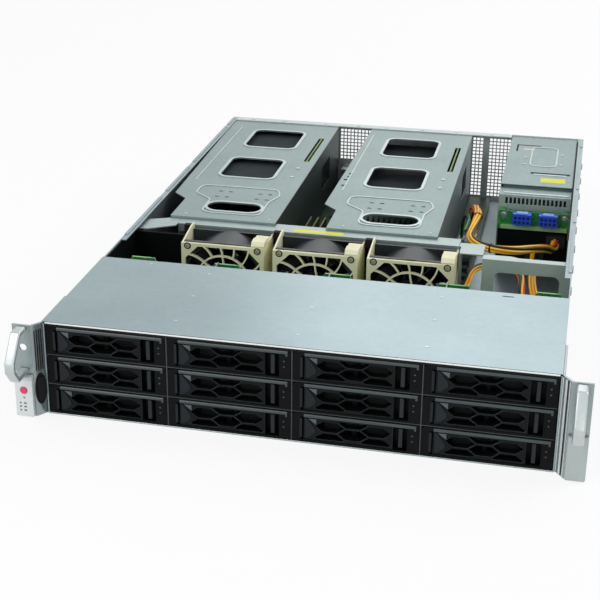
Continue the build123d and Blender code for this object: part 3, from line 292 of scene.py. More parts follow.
def rim(
    name: str, finish: "Finish | None", outline: Sequence[Flat], start: float, height: float, width: float
) -> bpy.types.Object:
    """Raised ridge that follows a closed outline on a level face.

    Args:
        name: Name of the ridge.
        finish: Its finish.
        outline: Its outer corners in millimetres.
        start: Height of the face.
        height: Height of the ridge over it.
        width: Width of the ridge.

    Returns:
        The ridge.
    """
    obj = sheet(name, outline, Lie.FLOOR, start)
    bpy.ops.mesh.inset(thickness=width * MM)
    bpy.ops.mesh.delete(type="FACE")
    bpy.ops.mesh.select_all(action="SELECT")
    thicken(Lie.FLOOR.place((0.0, 0.0), height))
    return paint(round_edges(obj, 0.45 * height), finish)


def disc(
    name: str,
    finish: "Finish | None",
    centre: Point,
    radius: float,
    height: float,
    axis: str,
    edge: float = 0.2,
    sides: int = 24,
) -> bpy.types.Object:
    """Short cylinder from a centre point along an axis, with rounded rims.

    Args:
        name: Name of the piece.
        finish: Its finish.
        centre: Middle of its first face, in millimetres.
        radius: Its radius.
        height: Its height, negative to point the other way.
        axis: X, Y or Z.
        edge: Rim radius.
        sides: Sides round it.

    Returns:
        The piece.
    """
    clear_selection()
    middle = list(centre)
    middle["XYZ".index(axis)] += height / 2
    bpy.ops.mesh.primitive_cylinder_add(
        vertices=sides,
        radius=radius * MM,
        depth=abs(height) * MM,
        location=metres(middle),
        rotation={"X": (0, math.pi / 2, 0), "Y": (math.pi / 2, 0, 0), "Z": (0, 0, 0)}[axis],
    )
    obj = settle(bpy.context.active_object)
    obj.name = name
    return paint(round_edges(obj, edge), finish)


def cross_screw(
    name: str, finish: "Finish | None", centre: Point, radius: float, axis: str, way: int
) -> bpy.types.Object:
    """Pan-head screw with a cross recess, its head standing out of a face.

    Args:
        name: Name of the piece.
        finish: Its finish.
        centre: Middle of the head's underside, in millimetres.
        radius: Head radius.
        axis: X, Y or Z.
        way: 1 or -1, the way the head points along the axis.

    Returns:
        The screw.
    """
    head = disc(name, None, centre, radius, way * 0.45 * radius, axis, 0.15 * radius)
    index = "XYZ".index(axis)
    middle = list(centre)
    middle[index] += way * 0.5 * radius
    cutters = []
    for turn in range(2):
        half = [0.12 * radius] * 3
        half[(index + 1 + turn) % 3] = 0.55 * radius
        half[index] = 0.25 * radius
        low = [a - b for a, b in zip(middle, half)]
        high = [a + b for a, b in zip(middle, half)]
        cutters.append(block(f"{name}_cut{turn}", None, low, high, 0))
    for cutter in cutters:
        apply_modifier(head, "BOOLEAN", object=cutter, operation="DIFFERENCE", solver="EXACT")
    discard(*cutters)
    return paint(head, finish)


def rounded(corners: Sequence[Flat], radius: float, steps: int = 4) -> list[Flat]:
    """Outline whose corners are rounded with arcs.

    Args:
        corners: Corners in millimetres, in order.
        radius: Largest radius of a corner.
        steps: Segments in each arc.

    Returns:
        The rounded outline.
    """
    outline = []
    for index, corner in enumerate(corners):
        here = Vector(corner)
        before = Vector(corners[index - 1]) - here
        after = Vector(corners[(index + 1) % len(corners)]) - here
        half = before.angle(after) / 2
        reach = min(radius / math.tan(half), 0.48 * before.length, 0.48 * after.length)
        start = here + before.normalized() * reach
        end = here + after.normalized() * reach
        for step in range(steps + 1):
            share = step / steps
            point = start.lerp(here, share).lerp(here.lerp(end, share), share)
            outline.append((point.x, point.y))
    return outline


def paint_where(
    obj: bpy.types.Object, finish: "Finish", test: Callable[[Vector, Vector], bool]
) -> bpy.types.Object:
    """Give the faces whose centre, in millimetres, and normal pass a test another finish."""
    obj.data.materials.append(finish.material())
    number = len(obj.data.materials) - 1
    for face in obj.data.polygons:
        if test(face.center / MM, face.normal):
            face.material_index = number
    return obj


def paint_within(obj: bpy.types.Object, finish: "Finish", low: Point, high: Point) -> bpy.types.Object:
    """Give the faces whose centre lies in a box, in millimetres, another finish."""
    return paint_where(
        obj, finish, lambda centre, normal: all(low[axis] <= centre[axis] <= high[axis] for axis in range(3))
    )


def cad_copy(node: str, name: str) -> bpy.types.Object:
    """Copy of a CAD node's mesh with its doubles merged and its flat faces whole."""
    obj = bpy.data.objects.new(name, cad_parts[node].data.copy())
    bpy.context.scene.collection.objects.link(obj)
    choose(obj)
    bpy.ops.object.mode_set(mode="EDIT")
    bpy.ops.mesh.select_all(action="SELECT")
    bpy.ops.mesh.remove_doubles(threshold=0.004 * MM)
    bpy.ops.mesh.dissolve_degenerate(threshold=0.01 * MM)
    bpy.ops.mesh.dissolve_limited(angle_limit=math.radians(0.5))
    bpy.ops.mesh.select_all(action="SELECT")
    bpy.ops.mesh.normals_make_consistent(inside=False)
    bpy.ops.object.mode_set(mode="OBJECT")
    return obj


def loose_parts(obj: bpy.types.Object) -> list[bpy.types.Object]:
    """Separate a mesh into its loose parts."""
    choose(obj)
    bpy.ops.mesh.separate(type="LOOSE")
    return list(bpy.context.selected_objects)


def extent(obj: bpy.types.Object) -> tuple[Vector, Vector]:
    """Lowest and highest corner of a mesh in millimetres."""
    corners = [v.co / MM for v in obj.data.vertices]
    low = Vector([min(c[i] for c in corners) for i in range(3)])
    high = Vector([max(c[i] for c in corners) for i in range(3)])
    return low, high


def dress(
    node: str,
    body: str,
    sort: "Finish | Callable[[Vector, Vector], Finish]",
    edge: float = 0.0,
    extra: Sequence[bpy.types.Object] = (),
    edge_highlight: "Finish | None" = None,
) -> bpy.types.Object:
    """Replace a CAD node by a copy whose loose parts have their finishes and rounded edges.

    Args:
        node: The CAD node.
        body: The body it rides on.
        sort: The finish of every part, or what gives a part's from its lowest and highest corners.
        edge: Edge radius, 0 for none.
        extra: Detail pieces joined to it.
        edge_highlight: Finish of the rounded edges, where it differs, a painted highlight on them.

    Returns:
        The finished piece.
    """
    parts = loose_parts(cad_copy(node, f"{node}_shape"))
    for part in parts:
        finish = sort if isinstance(sort, Finish) else sort(*extent(part))
        paint(part, finish)
        if edge_highlight:
            part.data.materials.append(edge_highlight.material())
        width = finish.edge or edge
        if width > 0:
            round_edges(part, width, 1 if edge_highlight else -1)
        else:
            smooth(part)
    obj = join(f"{node}_dressed", [*parts, *extra])
    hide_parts(node)
    return finish_piece(obj, body)


def finish_piece(obj: bpy.types.Object, body: str) -> bpy.types.Object:
    """Set a finished piece on its body and report it."""
    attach(obj, body)
    LOG.info("%s: %d faces on %s", obj.name, len(obj.data.polygons), body)
    return obj


# Finishes


def add_node(
    tree: bpy.types.NodeTree, kind: str, settings: dict | None = None, links: dict | None = None
) -> bpy.types.Node:
    """Add a shader node with its settings and links.

    Args:
        tree: The node tree.
        kind: Blender's node type.
        settings: Socket values by name or number, properties by name, or the stops of a colour ramp, each a
            position with a linear colour.
        links: Source sockets by the node's own socket name or number.

    Returns:
        The node.
    """
    node = tree.nodes.new(kind)
    for key, value in (settings or {}).items():
        if key == "stops":
            elements = node.color_ramp.elements
            while len(elements) < len(value):
                elements.new(0.5)
            for element, (position, colour) in zip(elements, value):
                element.position = position
                element.color = colour
        elif isinstance(key, int) or key in node.inputs:
            node.inputs[key].default_value = value
        else:
            setattr(node, key, value)
    for key, source in (links or {}).items():
        tree.links.new(source, node.inputs[key])
    return node


# Depth of the finest bumps, in metres
BUMP_DEPTH = 0.0001


@dataclass(frozen=True)
class Finish:
    """A surface finish that builds one material and keeps it, with its own edge radius if any."""

    name: str
    edge: float = field(default=0.0, kw_only=True)

    def material(self) -> bpy.types.Material:
        """The material, built the first time it is asked for."""
        found = bpy.data.materials.get(self.name)
        if found:
            return found
        made = bpy.data.materials.new(self.name)
        made.use_nodes = True
        tree = made.node_tree
        tree.nodes.clear()
        coordinates = add_node(tree, "ShaderNodeTexCoord").outputs["Object"]
        shader = self.shade(tree, coordinates)
        add_node(tree, "ShaderNodeOutputMaterial", links={"Surface": shader.outputs[0]})
        return made

    def shade(self, tree: bpy.types.NodeTree, place: bpy.types.NodeSocket) -> bpy.types.Node:
        """Build the shader from object coordinates."""
        raise NotImplementedError


@dataclass(frozen=True)
class ZincSheet(Finish):
    """Cold-rolled steel with a thin zinc coat: grey with a faint spangle and rolling lines."""

    colour: str = "#B9C4C6"
    shade_colour: str = "#AAB6B9"
    spangle_mm: float = 6.0
    rolling_mm: float = 1.6
    roughness: float = 0.42
    metallic: float = 0.75
    rolled_along_x: bool = True

    def shade(self, tree: bpy.types.NodeTree, place: bpy.types.NodeSocket) -> bpy.types.Node:
        """Spangle tints the colour, rolling lines vary the roughness and bump."""
        spangle = add_node(
            tree,
            "ShaderNodeTexVoronoi",
            {"Scale": 1 / (self.spangle_mm * MM), "feature": "SMOOTH_F1", "Randomness": 1.0},
            {"Vector": place},
        )
        cloud = add_node(
            tree,
            "ShaderNodeTexNoise",
            {"Scale": 1 / (12 * self.spangle_mm * MM), "Detail": 3.0},
            {"Vector": place},
        )
        mixed = add_node(
            tree,
            "ShaderNodeMath",
            {"operation": "MULTIPLY_ADD", 1: 0.35},
            {0: spangle.outputs["Distance"], 2: cloud.outputs["Fac"]},
        )
        colour = add_node(
            tree,
            "ShaderNodeValToRGB",
            {"stops": [(0.3, linear(self.shade_colour)), (0.85, linear(self.colour))]},
            {"Fac": mixed.outputs[0]},
        )
        stretch = (0.04, 1.0, 1.0) if self.rolled_along_x else (1.0, 0.04, 1.0)
        lines_place = add_node(tree, "ShaderNodeMapping", {"Scale": stretch}, {"Vector": place})
        lines = add_node(
            tree,
            "ShaderNodeTexNoise",
            {"Scale": 1 / (self.rolling_mm * MM), "Detail": 2.0},
            {"Vector": lines_place.outputs[0]},
        )
        rough = add_node(
            tree,
            "ShaderNodeMapRange",
            {"To Min": self.roughness - 0.06, "To Max": self.roughness + 0.06},
            {"Value": lines.outputs["Fac"]},
        )
        bump = add_node(
            tree, "ShaderNodeBump", {"Strength": 0.05, "Distance": 2 * BUMP_DEPTH}, {"Height": lines.outputs["Fac"]}
        )
        return add_node(
            tree,
            "ShaderNodeBsdfPrincipled",
            {"Metallic": self.metallic},
            {"Base Color": colour.outputs[0], "Roughness": rough.outputs[0], "Normal": bump.outputs[0]},
        )


@dataclass(frozen=True)
class MouldedPlastic(Finish):
    """Injection-moulded ABS: even colour with a fine spark-eroded grain."""

    colour: str = "#15181A"
    shade_colour: str = "#0E1011"
    grain_mm: float = 0.6
    flow_mm: float = 25.0
    roughness: float = 0.45
    specular: float = 0.4
    bump: float = 0.12

    def shade(self, tree: bpy.types.NodeTree, place: bpy.types.NodeSocket) -> bpy.types.Node:
        """Mould grain in bump and roughness, with slow flow shading in colour."""
        grain = add_node(
            tree, "ShaderNodeTexNoise", {"Scale": 1 / (self.grain_mm * MM), "Detail": 3.0}, {"Vector": place}
        )
        flow = add_node(
            tree, "ShaderNodeTexNoise", {"Scale": 1 / (self.flow_mm * MM), "Detail": 2.0}, {"Vector": place}
        )
        colour = add_node(
            tree,
            "ShaderNodeValToRGB",
            {"stops": [(0.3, linear(self.shade_colour)), (0.7, linear(self.colour))]},
            {"Fac": flow.outputs["Fac"]},
        )
        rough = add_node(
            tree,
            "ShaderNodeMapRange",
            {"To Min": self.roughness - 0.05, "To Max": self.roughness + 0.05},
            {"Value": grain.outputs["Fac"]},
        )
        bump = add_node(
            tree,
            "ShaderNodeBump",
            {"Strength": self.bump, "Distance": BUMP_DEPTH},
            {"Height": grain.outputs["Fac"]},
        )
        return add_node(
            tree,
            "ShaderNodeBsdfPrincipled",
            {"Specular IOR Level": self.specular, "IOR": 1.5},
            {"Base Color": colour.outputs[0], "Roughness": rough.outputs[0], "Normal": bump.outputs[0]},
        )


@dataclass(frozen=True)
class SolderMask(Finish):
    """Glass-epoxy board under a green mask: darker ground with lighter copper runs and pads."""

    colour: str = "#17682C"
    trace_colour: str = "#2A8A3E"
    pad_colour: str = "#B9B98A"
    trace_mm: float = 1.8
    pad_pitch_mm: float = 3.4

    def shade(self, tree: bpy.types.NodeTree, place: bpy.types.NodeSocket) -> bpy.types.Node:
        """Blocks of copper show through the mask, small pads stand on it."""
        runs = add_node(
            tree,
            "ShaderNodeTexVoronoi",
            {"Scale": 1 / (4 * self.trace_mm * MM), "distance": "CHEBYCHEV", "Randomness": 0.8},
            {"Vector": place},
        )
        bands = [(0.35, linear(self.colour)), (0.42, linear(self.trace_colour)), (0.5, linear(self.colour))]
        ground = add_node(tree, "ShaderNodeValToRGB", {"stops": bands}, {"Fac": runs.outputs["Distance"]})
        dots = add_node(
            tree,
            "ShaderNodeTexVoronoi",
            {"Scale": 1 / (self.pad_pitch_mm * MM), "Randomness": 0.9},
            {"Vector": place},
        )
        pads = add_node(
            tree,
            "ShaderNodeValToRGB",
            {"stops": [(0.13, (1, 1, 1, 1)), (0.17, (0, 0, 0, 1))]},
            {"Fac": dots.outputs["Distance"]},
        )
        colour = add_node(
            tree,
            "ShaderNodeMix",
            {"data_type": "RGBA", 7: linear(self.pad_colour)},
            {0: pads.outputs[0], 6: ground.outputs[0]},
        )
        bump = add_node(
            tree,
            "ShaderNodeBump",
            {"Strength": 0.1, "Distance": BUMP_DEPTH},
            {"Height": runs.outputs["Distance"]},
        )
        return add_node(
            tree,
            "ShaderNodeBsdfPrincipled",
            {"Roughness": 0.35, "Specular IOR Level": 0.5},
            {"Base Color": colour.outputs[2], "Normal": bump.outputs[0]},
        )


@dataclass(frozen=True)
class BareMetal(Finish):
    """Solid metal as machined or plated: bright, with short random scratches."""

    colour: str = "#C9CDD0"
    shade_colour: str = "#B4B9BD"
    roughness: float = 0.3
    scratch_mm: float = 0.9
    cloud_mm: float = 14.0

    def shade(self, tree: bpy.types.NodeTree, place: bpy.types.NodeSocket) -> bpy.types.Node:
        """Scratches vary the roughness, a slow cloud varies the colour."""
        cloud = add_node(
            tree, "ShaderNodeTexNoise", {"Scale": 1 / (self.cloud_mm * MM), "Detail": 2.0}, {"Vector": place}
        )
        scratch = add_node(
            tree,
            "ShaderNodeTexNoise",
            {"Scale": 1 / (self.scratch_mm * MM), "Detail": 4.0},
            {"Vector": place},
        )
        colour = add_node(
            tree,
            "ShaderNodeValToRGB",
            {"stops": [(0.3, linear(self.shade_colour)), (0.7, linear(self.colour))]},
            {"Fac": cloud.outputs["Fac"]},
        )
        rough = add_node(
            tree,
            "ShaderNodeMapRange",
            {"To Min": self.roughness - 0.06, "To Max": self.roughness + 0.08},
            {"Value": scratch.outputs["Fac"]},
        )
        return add_node(
            tree,
            "ShaderNodeBsdfPrincipled",
            {"Metallic": 1.0},
            {"Base Color": colour.outputs[0], "Roughness": rough.outputs[0]},
        )


@dataclass(frozen=True)
class PaintedCasting(Finish):
    """Die-cast zinc under silver paint: pale, with fine metal flake and a soft sheen."""

    colour: str = "#D9DEDF"
    shade_colour: str = "#C6CDCF"
    metallic: float = 0.35
    roughness: float = 0.4
    flake_mm: float = 0.7
    peel_mm: float = 1.5

    def shade(self, tree: bpy.types.NodeTree, place: bpy.types.NodeSocket) -> bpy.types.Node:
        """Flakes tint the colour, orange peel bumps the surface."""
        flake = add_node(
            tree, "ShaderNodeTexVoronoi", {"Scale": 1 / (self.flake_mm * MM)}, {"Vector": place}
        )
        colour = add_node(
            tree,
            "ShaderNodeValToRGB",
            {"stops": [(0.1, linear(self.colour)), (0.8, linear(self.shade_colour))]},
            {"Fac": flake.outputs["Distance"]},
        )
        peel = add_node(
            tree, "ShaderNodeTexNoise", {"Scale": 1 / (self.peel_mm * MM), "Detail": 2.0}, {"Vector": place}
        )
        bump = add_node(
            tree,
            "ShaderNodeBump",
            {"Strength": 0.06, "Distance": BUMP_DEPTH},
            {"Height": peel.outputs["Fac"]},
        )
        return add_node(
            tree,
            "ShaderNodeBsdfPrincipled",
            {"Metallic": self.metallic, "Roughness": self.roughness},
            {"Base Color": colour.outputs[0], "Normal": bump.outputs[0]},
        )


# Zinc-plated steel: the chassis, cages and covers; a dull grey with soft reflections
CHASSIS_ZINC = ZincSheet("zinc_plated_steel_chassis", "#9EACAF", "#8F9EA2")
CAGE_ZINC = ZincSheet("zinc_plated_steel_cage", "#8A989C", "#7C8A8E")
COVER_ZINC = ZincSheet("zinc_plated_steel_cover", "#95A7AB", "#8B9DA2", roughness=0.3)
# Lighter, less metallic zinc for the rear panel: painted light falling on its web
LIT_PANEL_ZINC = ZincSheet("zinc_plated_steel_rear_panel", "#C6D0D0", "#B8C3C3", metallic=0.3)
BRACKET_ZINC = ZincSheet("zinc_plated_steel_bracket", "#B4C4C2", "#A6B7B5", metallic=0.4)
# Dark zinc for the left riser cage's wall: painted shade between the cages
SHADED_ZINC = ZincSheet("zinc_plated_steel_wall_painted_shade", "#4E5A59", "#434F4E")
WALL_ZINC = ZincSheet("zinc_plated_steel_outer_wall", "#87979A", "#7A8A8D")
# Lighter zinc for pressed ridges, bumps, flaps and rivet heads: painted highlights where they catch the light
RIDGE_HIGHLIGHT_ZINC = ZincSheet("zinc_plated_steel_pressed_edge", "#B9C6C5", "#ADBBBA", roughness=0.32)
# Near-white zinc for edges that catch the light: painted highlights
HIGHLIGHT_EDGE_ZINC = ZincSheet("zinc_plated_steel_edge_painted_highlight", "#F2F6F6", "#E6ECEC", roughness=0.25)
RISER_ZINC = ZincSheet("zinc_plated_steel_riser", "#8A9B99", "#7F918F", rolled_along_x=False)
BEAM_ZINC = ZincSheet("zinc_plated_steel_beam", "#A6B4B3", "#9AA9A8")
SUPPLY_ZINC = ZincSheet("zinc_plated_steel_supply", "#879898", "#7B8D8D", rolled_along_x=False)
# Silver paint on die-cast zinc: the pull handles and the ear panels; pale, with a soft sheen
HANDLE_SILVER = PaintedCasting(
    "silver_painted_casting", "#CBD2D2", "#BCC4C4", metallic=0.6, roughness=0.32, edge=1.6
)
EAR_SILVER = PaintedCasting("silver_painted_steel_ear", "#A3AFAF", "#93A0A0", metallic=0.7, roughness=0.28)
PANEL_SILVER = PaintedCasting("silver_painted_abs_panel", "#E6ECEC", "#D9E0E0", metallic=0.1)
# Greyer copy of the panel silver for the right ear's panel: painted shade
SHADED_SILVER = PaintedCasting("silver_painted_abs_side_painted_shade", "#B9C3C2", "#ACB7B6", metallic=0.1)
# Black ABS: the trays, levers, baffle and housings; fine matt grain that keeps reflections faint
# The tray black also stands as painted shade: the baffle in the empty fan bay, the sheet on the left wall and the sheet
# over the power board's lower half
SHADE_AND_TRAY_BLACK = MouldedPlastic("black_abs_tray_and_painted_shade", "#0B0D0F", "#08090A", specular=0.1)
LEVER_BLACK = MouldedPlastic("black_abs_lever", "#0D1012", "#090B0D", roughness=0.34, specular=0.14)
PLATE_BLACK = MouldedPlastic("black_abs_plate", "#1C2328", "#171D22", roughness=0.4, specular=0.2)
# Grey of the trays' top bars: the bar is real, its lighter grey is a painted highlight
LIT_BAR_GREY = MouldedPlastic("grey_abs_bar_painted_highlight", "#3C474A", "#343E41", roughness=0.3, specular=0.5)
RELEASE_GREY = MouldedPlastic("grey_abs_release", "#24292C", "#1D2225", roughness=0.35, specular=0.25)
HOUSING_BLACK = MouldedPlastic("black_pbt_fan_housing", "#262D30", "#1F2528", roughness=0.38)
# The rotor black also paints the shade inside the fan housings' bores
SHADE_AND_ROTOR_BLACK = MouldedPlastic("black_pbt_rotor_and_painted_shade", "#0C0E10", "#08090A", roughness=0.35, specular=0.12)
SOCKET_BLACK = MouldedPlastic("black_nylon_socket", "#1B1D1F", "#141617")
# Cream ABS: the fan frames, a pale yellow-green plastic with a soft sheen
FAN_CREAM = MouldedPlastic("cream_abs_fan_frame", "#EFEDCC", "#E6E3BE", roughness=0.42, specular=0.45)
# Moulded nylon of the sockets and acrylic of the button: clear colours with a soft gloss
SOCKET_BLUE = MouldedPlastic("blue_nylon_socket", "#1F55D6", "#1848BE", roughness=0.35, specular=0.5)
SOCKET_WHITE = MouldedPlastic("white_nylon_header", "#E2E4DC", "#D2D4CB", roughness=0.45)
BUTTON_PINK = MouldedPlastic("pink_acrylic_button", "#EA3A6E", "#D92D60", roughness=0.25, specular=0.6)
# Synthetic rubber: the fan bushings and the ear pad; near black and dull. The same black stands as painted shade in
# slots, holes, gaps, screw sinks and a band on the right ear.
SHADE_AND_RUBBER_BLACK = MouldedPlastic("black_epdm_rubber_and_painted_shade", "#141516", "#0E0F10", roughness=0.7, specular=0.2)
# Dark paints and plastics of small parts: low greys that part a thing from the black round it
DRIVE_DARK = MouldedPlastic("dark_drive_carrier", "#17191A", "#101213", roughness=0.5, specular=0.2)
LIGHT_GREY = MouldedPlastic("grey_light_window", "#3C4548", "#343C3F", roughness=0.3)
PANEL_INK = MouldedPlastic("grey_panel_ink", "#6C7274", "#606668", roughness=0.5)
CORNER_GREY = MouldedPlastic("grey_abs_corner", "#566265", "#4C575A", roughness=0.35)
# Grey of the levers' rounded edges: a painted highlight
LEVER_HIGHLIGHT_GREY = MouldedPlastic("grey_abs_lever_edge_painted_highlight", "#4E585B", "#444D50", roughness=0.3)
# Black for the cage's shelves and the cover's fold over the bays: painted shade between the trays
CAGE_SHADE_BLACK = MouldedPlastic("cage_edge_painted_shade_black", "#0D0F10", "#090A0B", roughness=0.5, specular=0.2)
# Grey for the cage's front edges: painted shade between the trays
DIVIDER_SHADE_GREY = MouldedPlastic("divider_edge_painted_shade_grey", "#4A5052", "#404648", roughness=0.45)
LABEL_GREY = MouldedPlastic("grey_film_label", "#55595C", "#4A4E51", roughness=0.5, bump=0.02)
CARD_DARK = MouldedPlastic("dark_anodised_card", "#31383B", "#2A3133", roughness=0.7, specular=0.08)
# Coloured plastics of small parts: dark and pale blues of the sockets, the light's green, the latch's maroon
SOCKET_NAVY = MouldedPlastic("navy_nylon_cell", "#0C1F66", "#091850", roughness=0.4)
SOCKET_PALE = MouldedPlastic("pale_blue_nylon_latch", "#7FA2F0", "#6C90E2", roughness=0.4)
STATUS_GREEN = MouldedPlastic("green_light_pipe", "#4FC46A", "#44B25E", roughness=0.2, specular=0.6)
RELEASE_RED = MouldedPlastic("maroon_abs_latch", "#8E2A34", "#7C222B", roughness=0.4)
# Glass-epoxy boards under green mask: glossy, with lighter copper runs and pale cut edges
BOARD_GREEN = SolderMask("green_solder_mask_board", "#1C7836", "#2E9A4A")
BOARD_EDGE = MouldedPlastic("pale_green_board_edge", "#9CC58A", "#86B274", roughness=0.5)
MEMORY_GREEN = SolderMask("green_memory_board", "#3B4A22", "#566A30", "#8C8C50")
# The main board's green is its mask colour darkened with painted shade from deep inside the chassis
SHADED_MAIN_GREEN = SolderMask("green_main_board_painted_shade", "#10301A", "#1B4A28", "#8C8A58")
RISER_GREEN = SolderMask("green_riser_card", "#5C7A2C", "#7A9A3A", "#C8C86A")
MEMORY_EDGE = MouldedPlastic("olive_memory_edge", "#8E9A3E", "#7C8834", roughness=0.45)
# Plated, extruded and anodised metals: small bright spots with soft scratches
STEEL_SCREW = BareMetal("nickel_plated_steel_screw", "#D4D8D8", "#C0C5C6")
PALE_SCREW = PaintedCasting("yellow_zinc_screw", "#B9B79C", "#A6A48A", metallic=0.3)
ALUMINIUM = BareMetal("extruded_aluminium", "#C6CACD", "#B2B7BB", roughness=0.38)
GOLD_CONTACT = BareMetal("gold_plated_contact", "#C9A544", "#B08E34")
SINK_DARK = BareMetal("anodised_aluminium_sink", "#6E7478", "#5E6468", roughness=0.45)
# PVC insulation of the wires: strong colours with a waxy gloss
WIRE_ORANGE = MouldedPlastic("amber_pvc_insulation", "#F2AA1A", "#E09A14", roughness=0.35, specular=0.5)
WIRE_YELLOW = MouldedPlastic("yellow_pvc_insulation", "#FFC520", "#F4B616", roughness=0.35, specular=0.5)
WIRE_BLACK = MouldedPlastic("black_pvc_insulation", "#17181A", "#101113", roughness=0.35)
WIRE_RED = MouldedPlastic("red_pvc_insulation", "#C8202A", "#B3181F", roughness=0.35, specular=0.5)
WIRE_GREEN = MouldedPlastic("green_pvc_insulation", "#2FA04A", "#258A3E", roughness=0.35)
WIRE_VIOLET = MouldedPlastic("violet_pvc_insulation", "#4A2F9C", "#3D2588", roughness=0.35)
# Paper and film labels without lettering: flat bright patches
LABEL_YELLOW = MouldedPlastic("yellow_film_label", "#E6E63C", "#DADA30", roughness=0.5, bump=0.02)
LABEL_ORANGE = MouldedPlastic("orange_film_label", "#E08A5C", "#D47E50", roughness=0.5, bump=0.02)
LABEL_WHITE = MouldedPlastic("white_paper_label", "#ECECE8", "#E2E2DD", roughness=0.6, bump=0.02)


# Studio


@dataclass
class Studio:
    """Pale floor, soft lights and the camera at the photograph's angle."""

    camera_place: Point = (213.97, -1304.45, 572.67)
    right: Point = (0.97111, 0.23860, -0.00359)
    down: Point = (0.08972, -0.37904, -0.92102)
    forward: Point = (-0.22112, 0.89409, -0.38950)
    focal_pixels: float = 1374.83
    principal: Flat = (254.76, 283.06)
    picture: float = 600.0
    sensor: float = 36.0
    floor_glow: float = 0.85
    world_light: float = 0.55
    # Name, place and target in metres, size in metres and power in watts
    soft_boxes: tuple[tuple[str, Point, Point, float, float], ...] = (
        ("rear_middle", (-0.1, 2.4, 1.65), (0.05, -0.24, 0.09), 1.15, 5.5),
        ("right", (2.4, 0.9, 2.2), (0.0, 0.0, 0.05), 1.6, 34.0),
        ("front_left", (-1.1, -1.5, 1.6), (0.0, -0.2, 0.05), 1.4, 15.0),
        ("low_front", (0.9, -2.2, 0.7), (0.0, -0.3, 0.05), 1.2, 4.0),
    )

    def build(self) -> None:
        """Make the camera, floor, lights and world."""
        self.camera()
        self.floor()
        self.lights()
        self.world()

    def camera(self) -> None:
        """Camera with the photograph's place, turn, lens and framing."""
        data = bpy.data.cameras.new("camera")
        data.sensor_width = self.sensor
        data.sensor_fit = "HORIZONTAL"
        data.lens = self.focal_pixels * self.sensor / self.picture
        data.shift_x = (self.picture / 2 - self.principal[0]) / self.picture
        data.shift_y = (self.principal[1] - self.picture / 2) / self.picture
        data.clip_start = 0.05
        data.clip_end = 20.0
        obj = bpy.data.objects.new("camera", data)
        bpy.context.scene.collection.objects.link(obj)
        columns = [Vector(self.right), -Vector(self.down), -Vector(self.forward)]
        turned = Matrix([[columns[c][r] for c in range(3)] for r in range(3)]).to_4x4()
        obj.matrix_world = Matrix.Translation(metres(self.camera_place)) @ turned
        bpy.context.scene.camera = obj

    def floor(self) -> None:
        """Wide white floor under the object."""
        clear_selection()
        bpy.ops.mesh.primitive_plane_add(size=14.0, location=(0, 0, -0.0005))
        obj = settle(bpy.context.active_object)
        obj.name = "floor"
        made = bpy.data.materials.new("white_backdrop_paper")
        made.use_nodes = True
        tree = made.node_tree
        tree.nodes.clear()
        place = add_node(tree, "ShaderNodeTexCoord").outputs["Object"]
        fibre = add_node(tree, "ShaderNodeTexNoise", {"Scale": 40.0}, {"Vector": place})
        whites = [(0.0, linear("#FAFAFA")), (1.0, linear("#FFFFFF"))]
        colour = add_node(tree, "ShaderNodeValToRGB", {"stops": whites}, {"Fac": fibre.outputs["Fac"]})
        paper = add_node(tree, "ShaderNodeBsdfDiffuse", links={"Color": colour.outputs[0]})
        glow = add_node(tree, "ShaderNodeEmission", {"Strength": 1.0})
        seen = add_node(
            tree, "ShaderNodeMath", {"operation": "MULTIPLY", 1: self.floor_glow}, {0: self.looked_at(tree)}
        )
        shader = add_node(
            tree, "ShaderNodeMixShader", links={0: seen.outputs[0], 1: paper.outputs[0], 2: glow.outputs[0]}
        )
        add_node(tree, "ShaderNodeOutputMaterial", links={"Surface": shader.outputs[0]})
        obj.data.materials.append(made)

    @staticmethod
    def looked_at(tree: bpy.types.NodeTree) -> bpy.types.NodeSocket:
        """1 for rays from the camera and for mirrored and transmitted ones, 0 for light."""
        path = add_node(tree, "ShaderNodeLightPath")
        seen = path.outputs["Is Camera Ray"]
        for kind in ("Is Glossy Ray", "Is Transmission Ray"):
            links = {0: seen, 1: path.outputs[kind]}
            seen = add_node(tree, "ShaderNodeMath", {"operation": "MAXIMUM"}, links).outputs[0]
        return seen

    def lights(self) -> None:
        """Soft boxes: behind and right of the middle, right, over the front left and low in front."""
        for soft_box in self.soft_boxes:
            self.soft_box(*soft_box)

    def soft_box(self, name: str, place: Point, target: Point, size: float, power: float) -> None:
        """Square area lamp that faces a target, places in metres."""
        data = bpy.data.lights.new(name, "AREA")
        data.size = size
        data.energy = power
        obj = bpy.data.objects.new(name, data)
        bpy.context.scene.collection.objects.link(obj)
        obj.location = place
        obj.rotation_euler = (Vector(target) - Vector(place)).to_track_quat("-Z", "Y").to_euler()

    def world(self) -> None:
        """White where it is seen or mirrored, softer where it lights."""
        world = bpy.data.worlds.new("studio")
        world.use_nodes = True
        bpy.context.scene.world = world
        tree = world.node_tree
        tree.nodes.clear()
        strength = add_node(
            tree, "ShaderNodeMapRange", {"To Min": self.world_light, "To Max": 1.0}, {"Value": self.looked_at(tree)}
        )
        backdrop = add_node(
            tree, "ShaderNodeBackground", {"Color": (1, 1, 1, 1)}, {"Strength": strength.outputs[0]}
        )
        add_node(tree, "ShaderNodeOutputWorld", links={"Surface": backdrop.outputs[0]})


# The machine's sub-assemblies


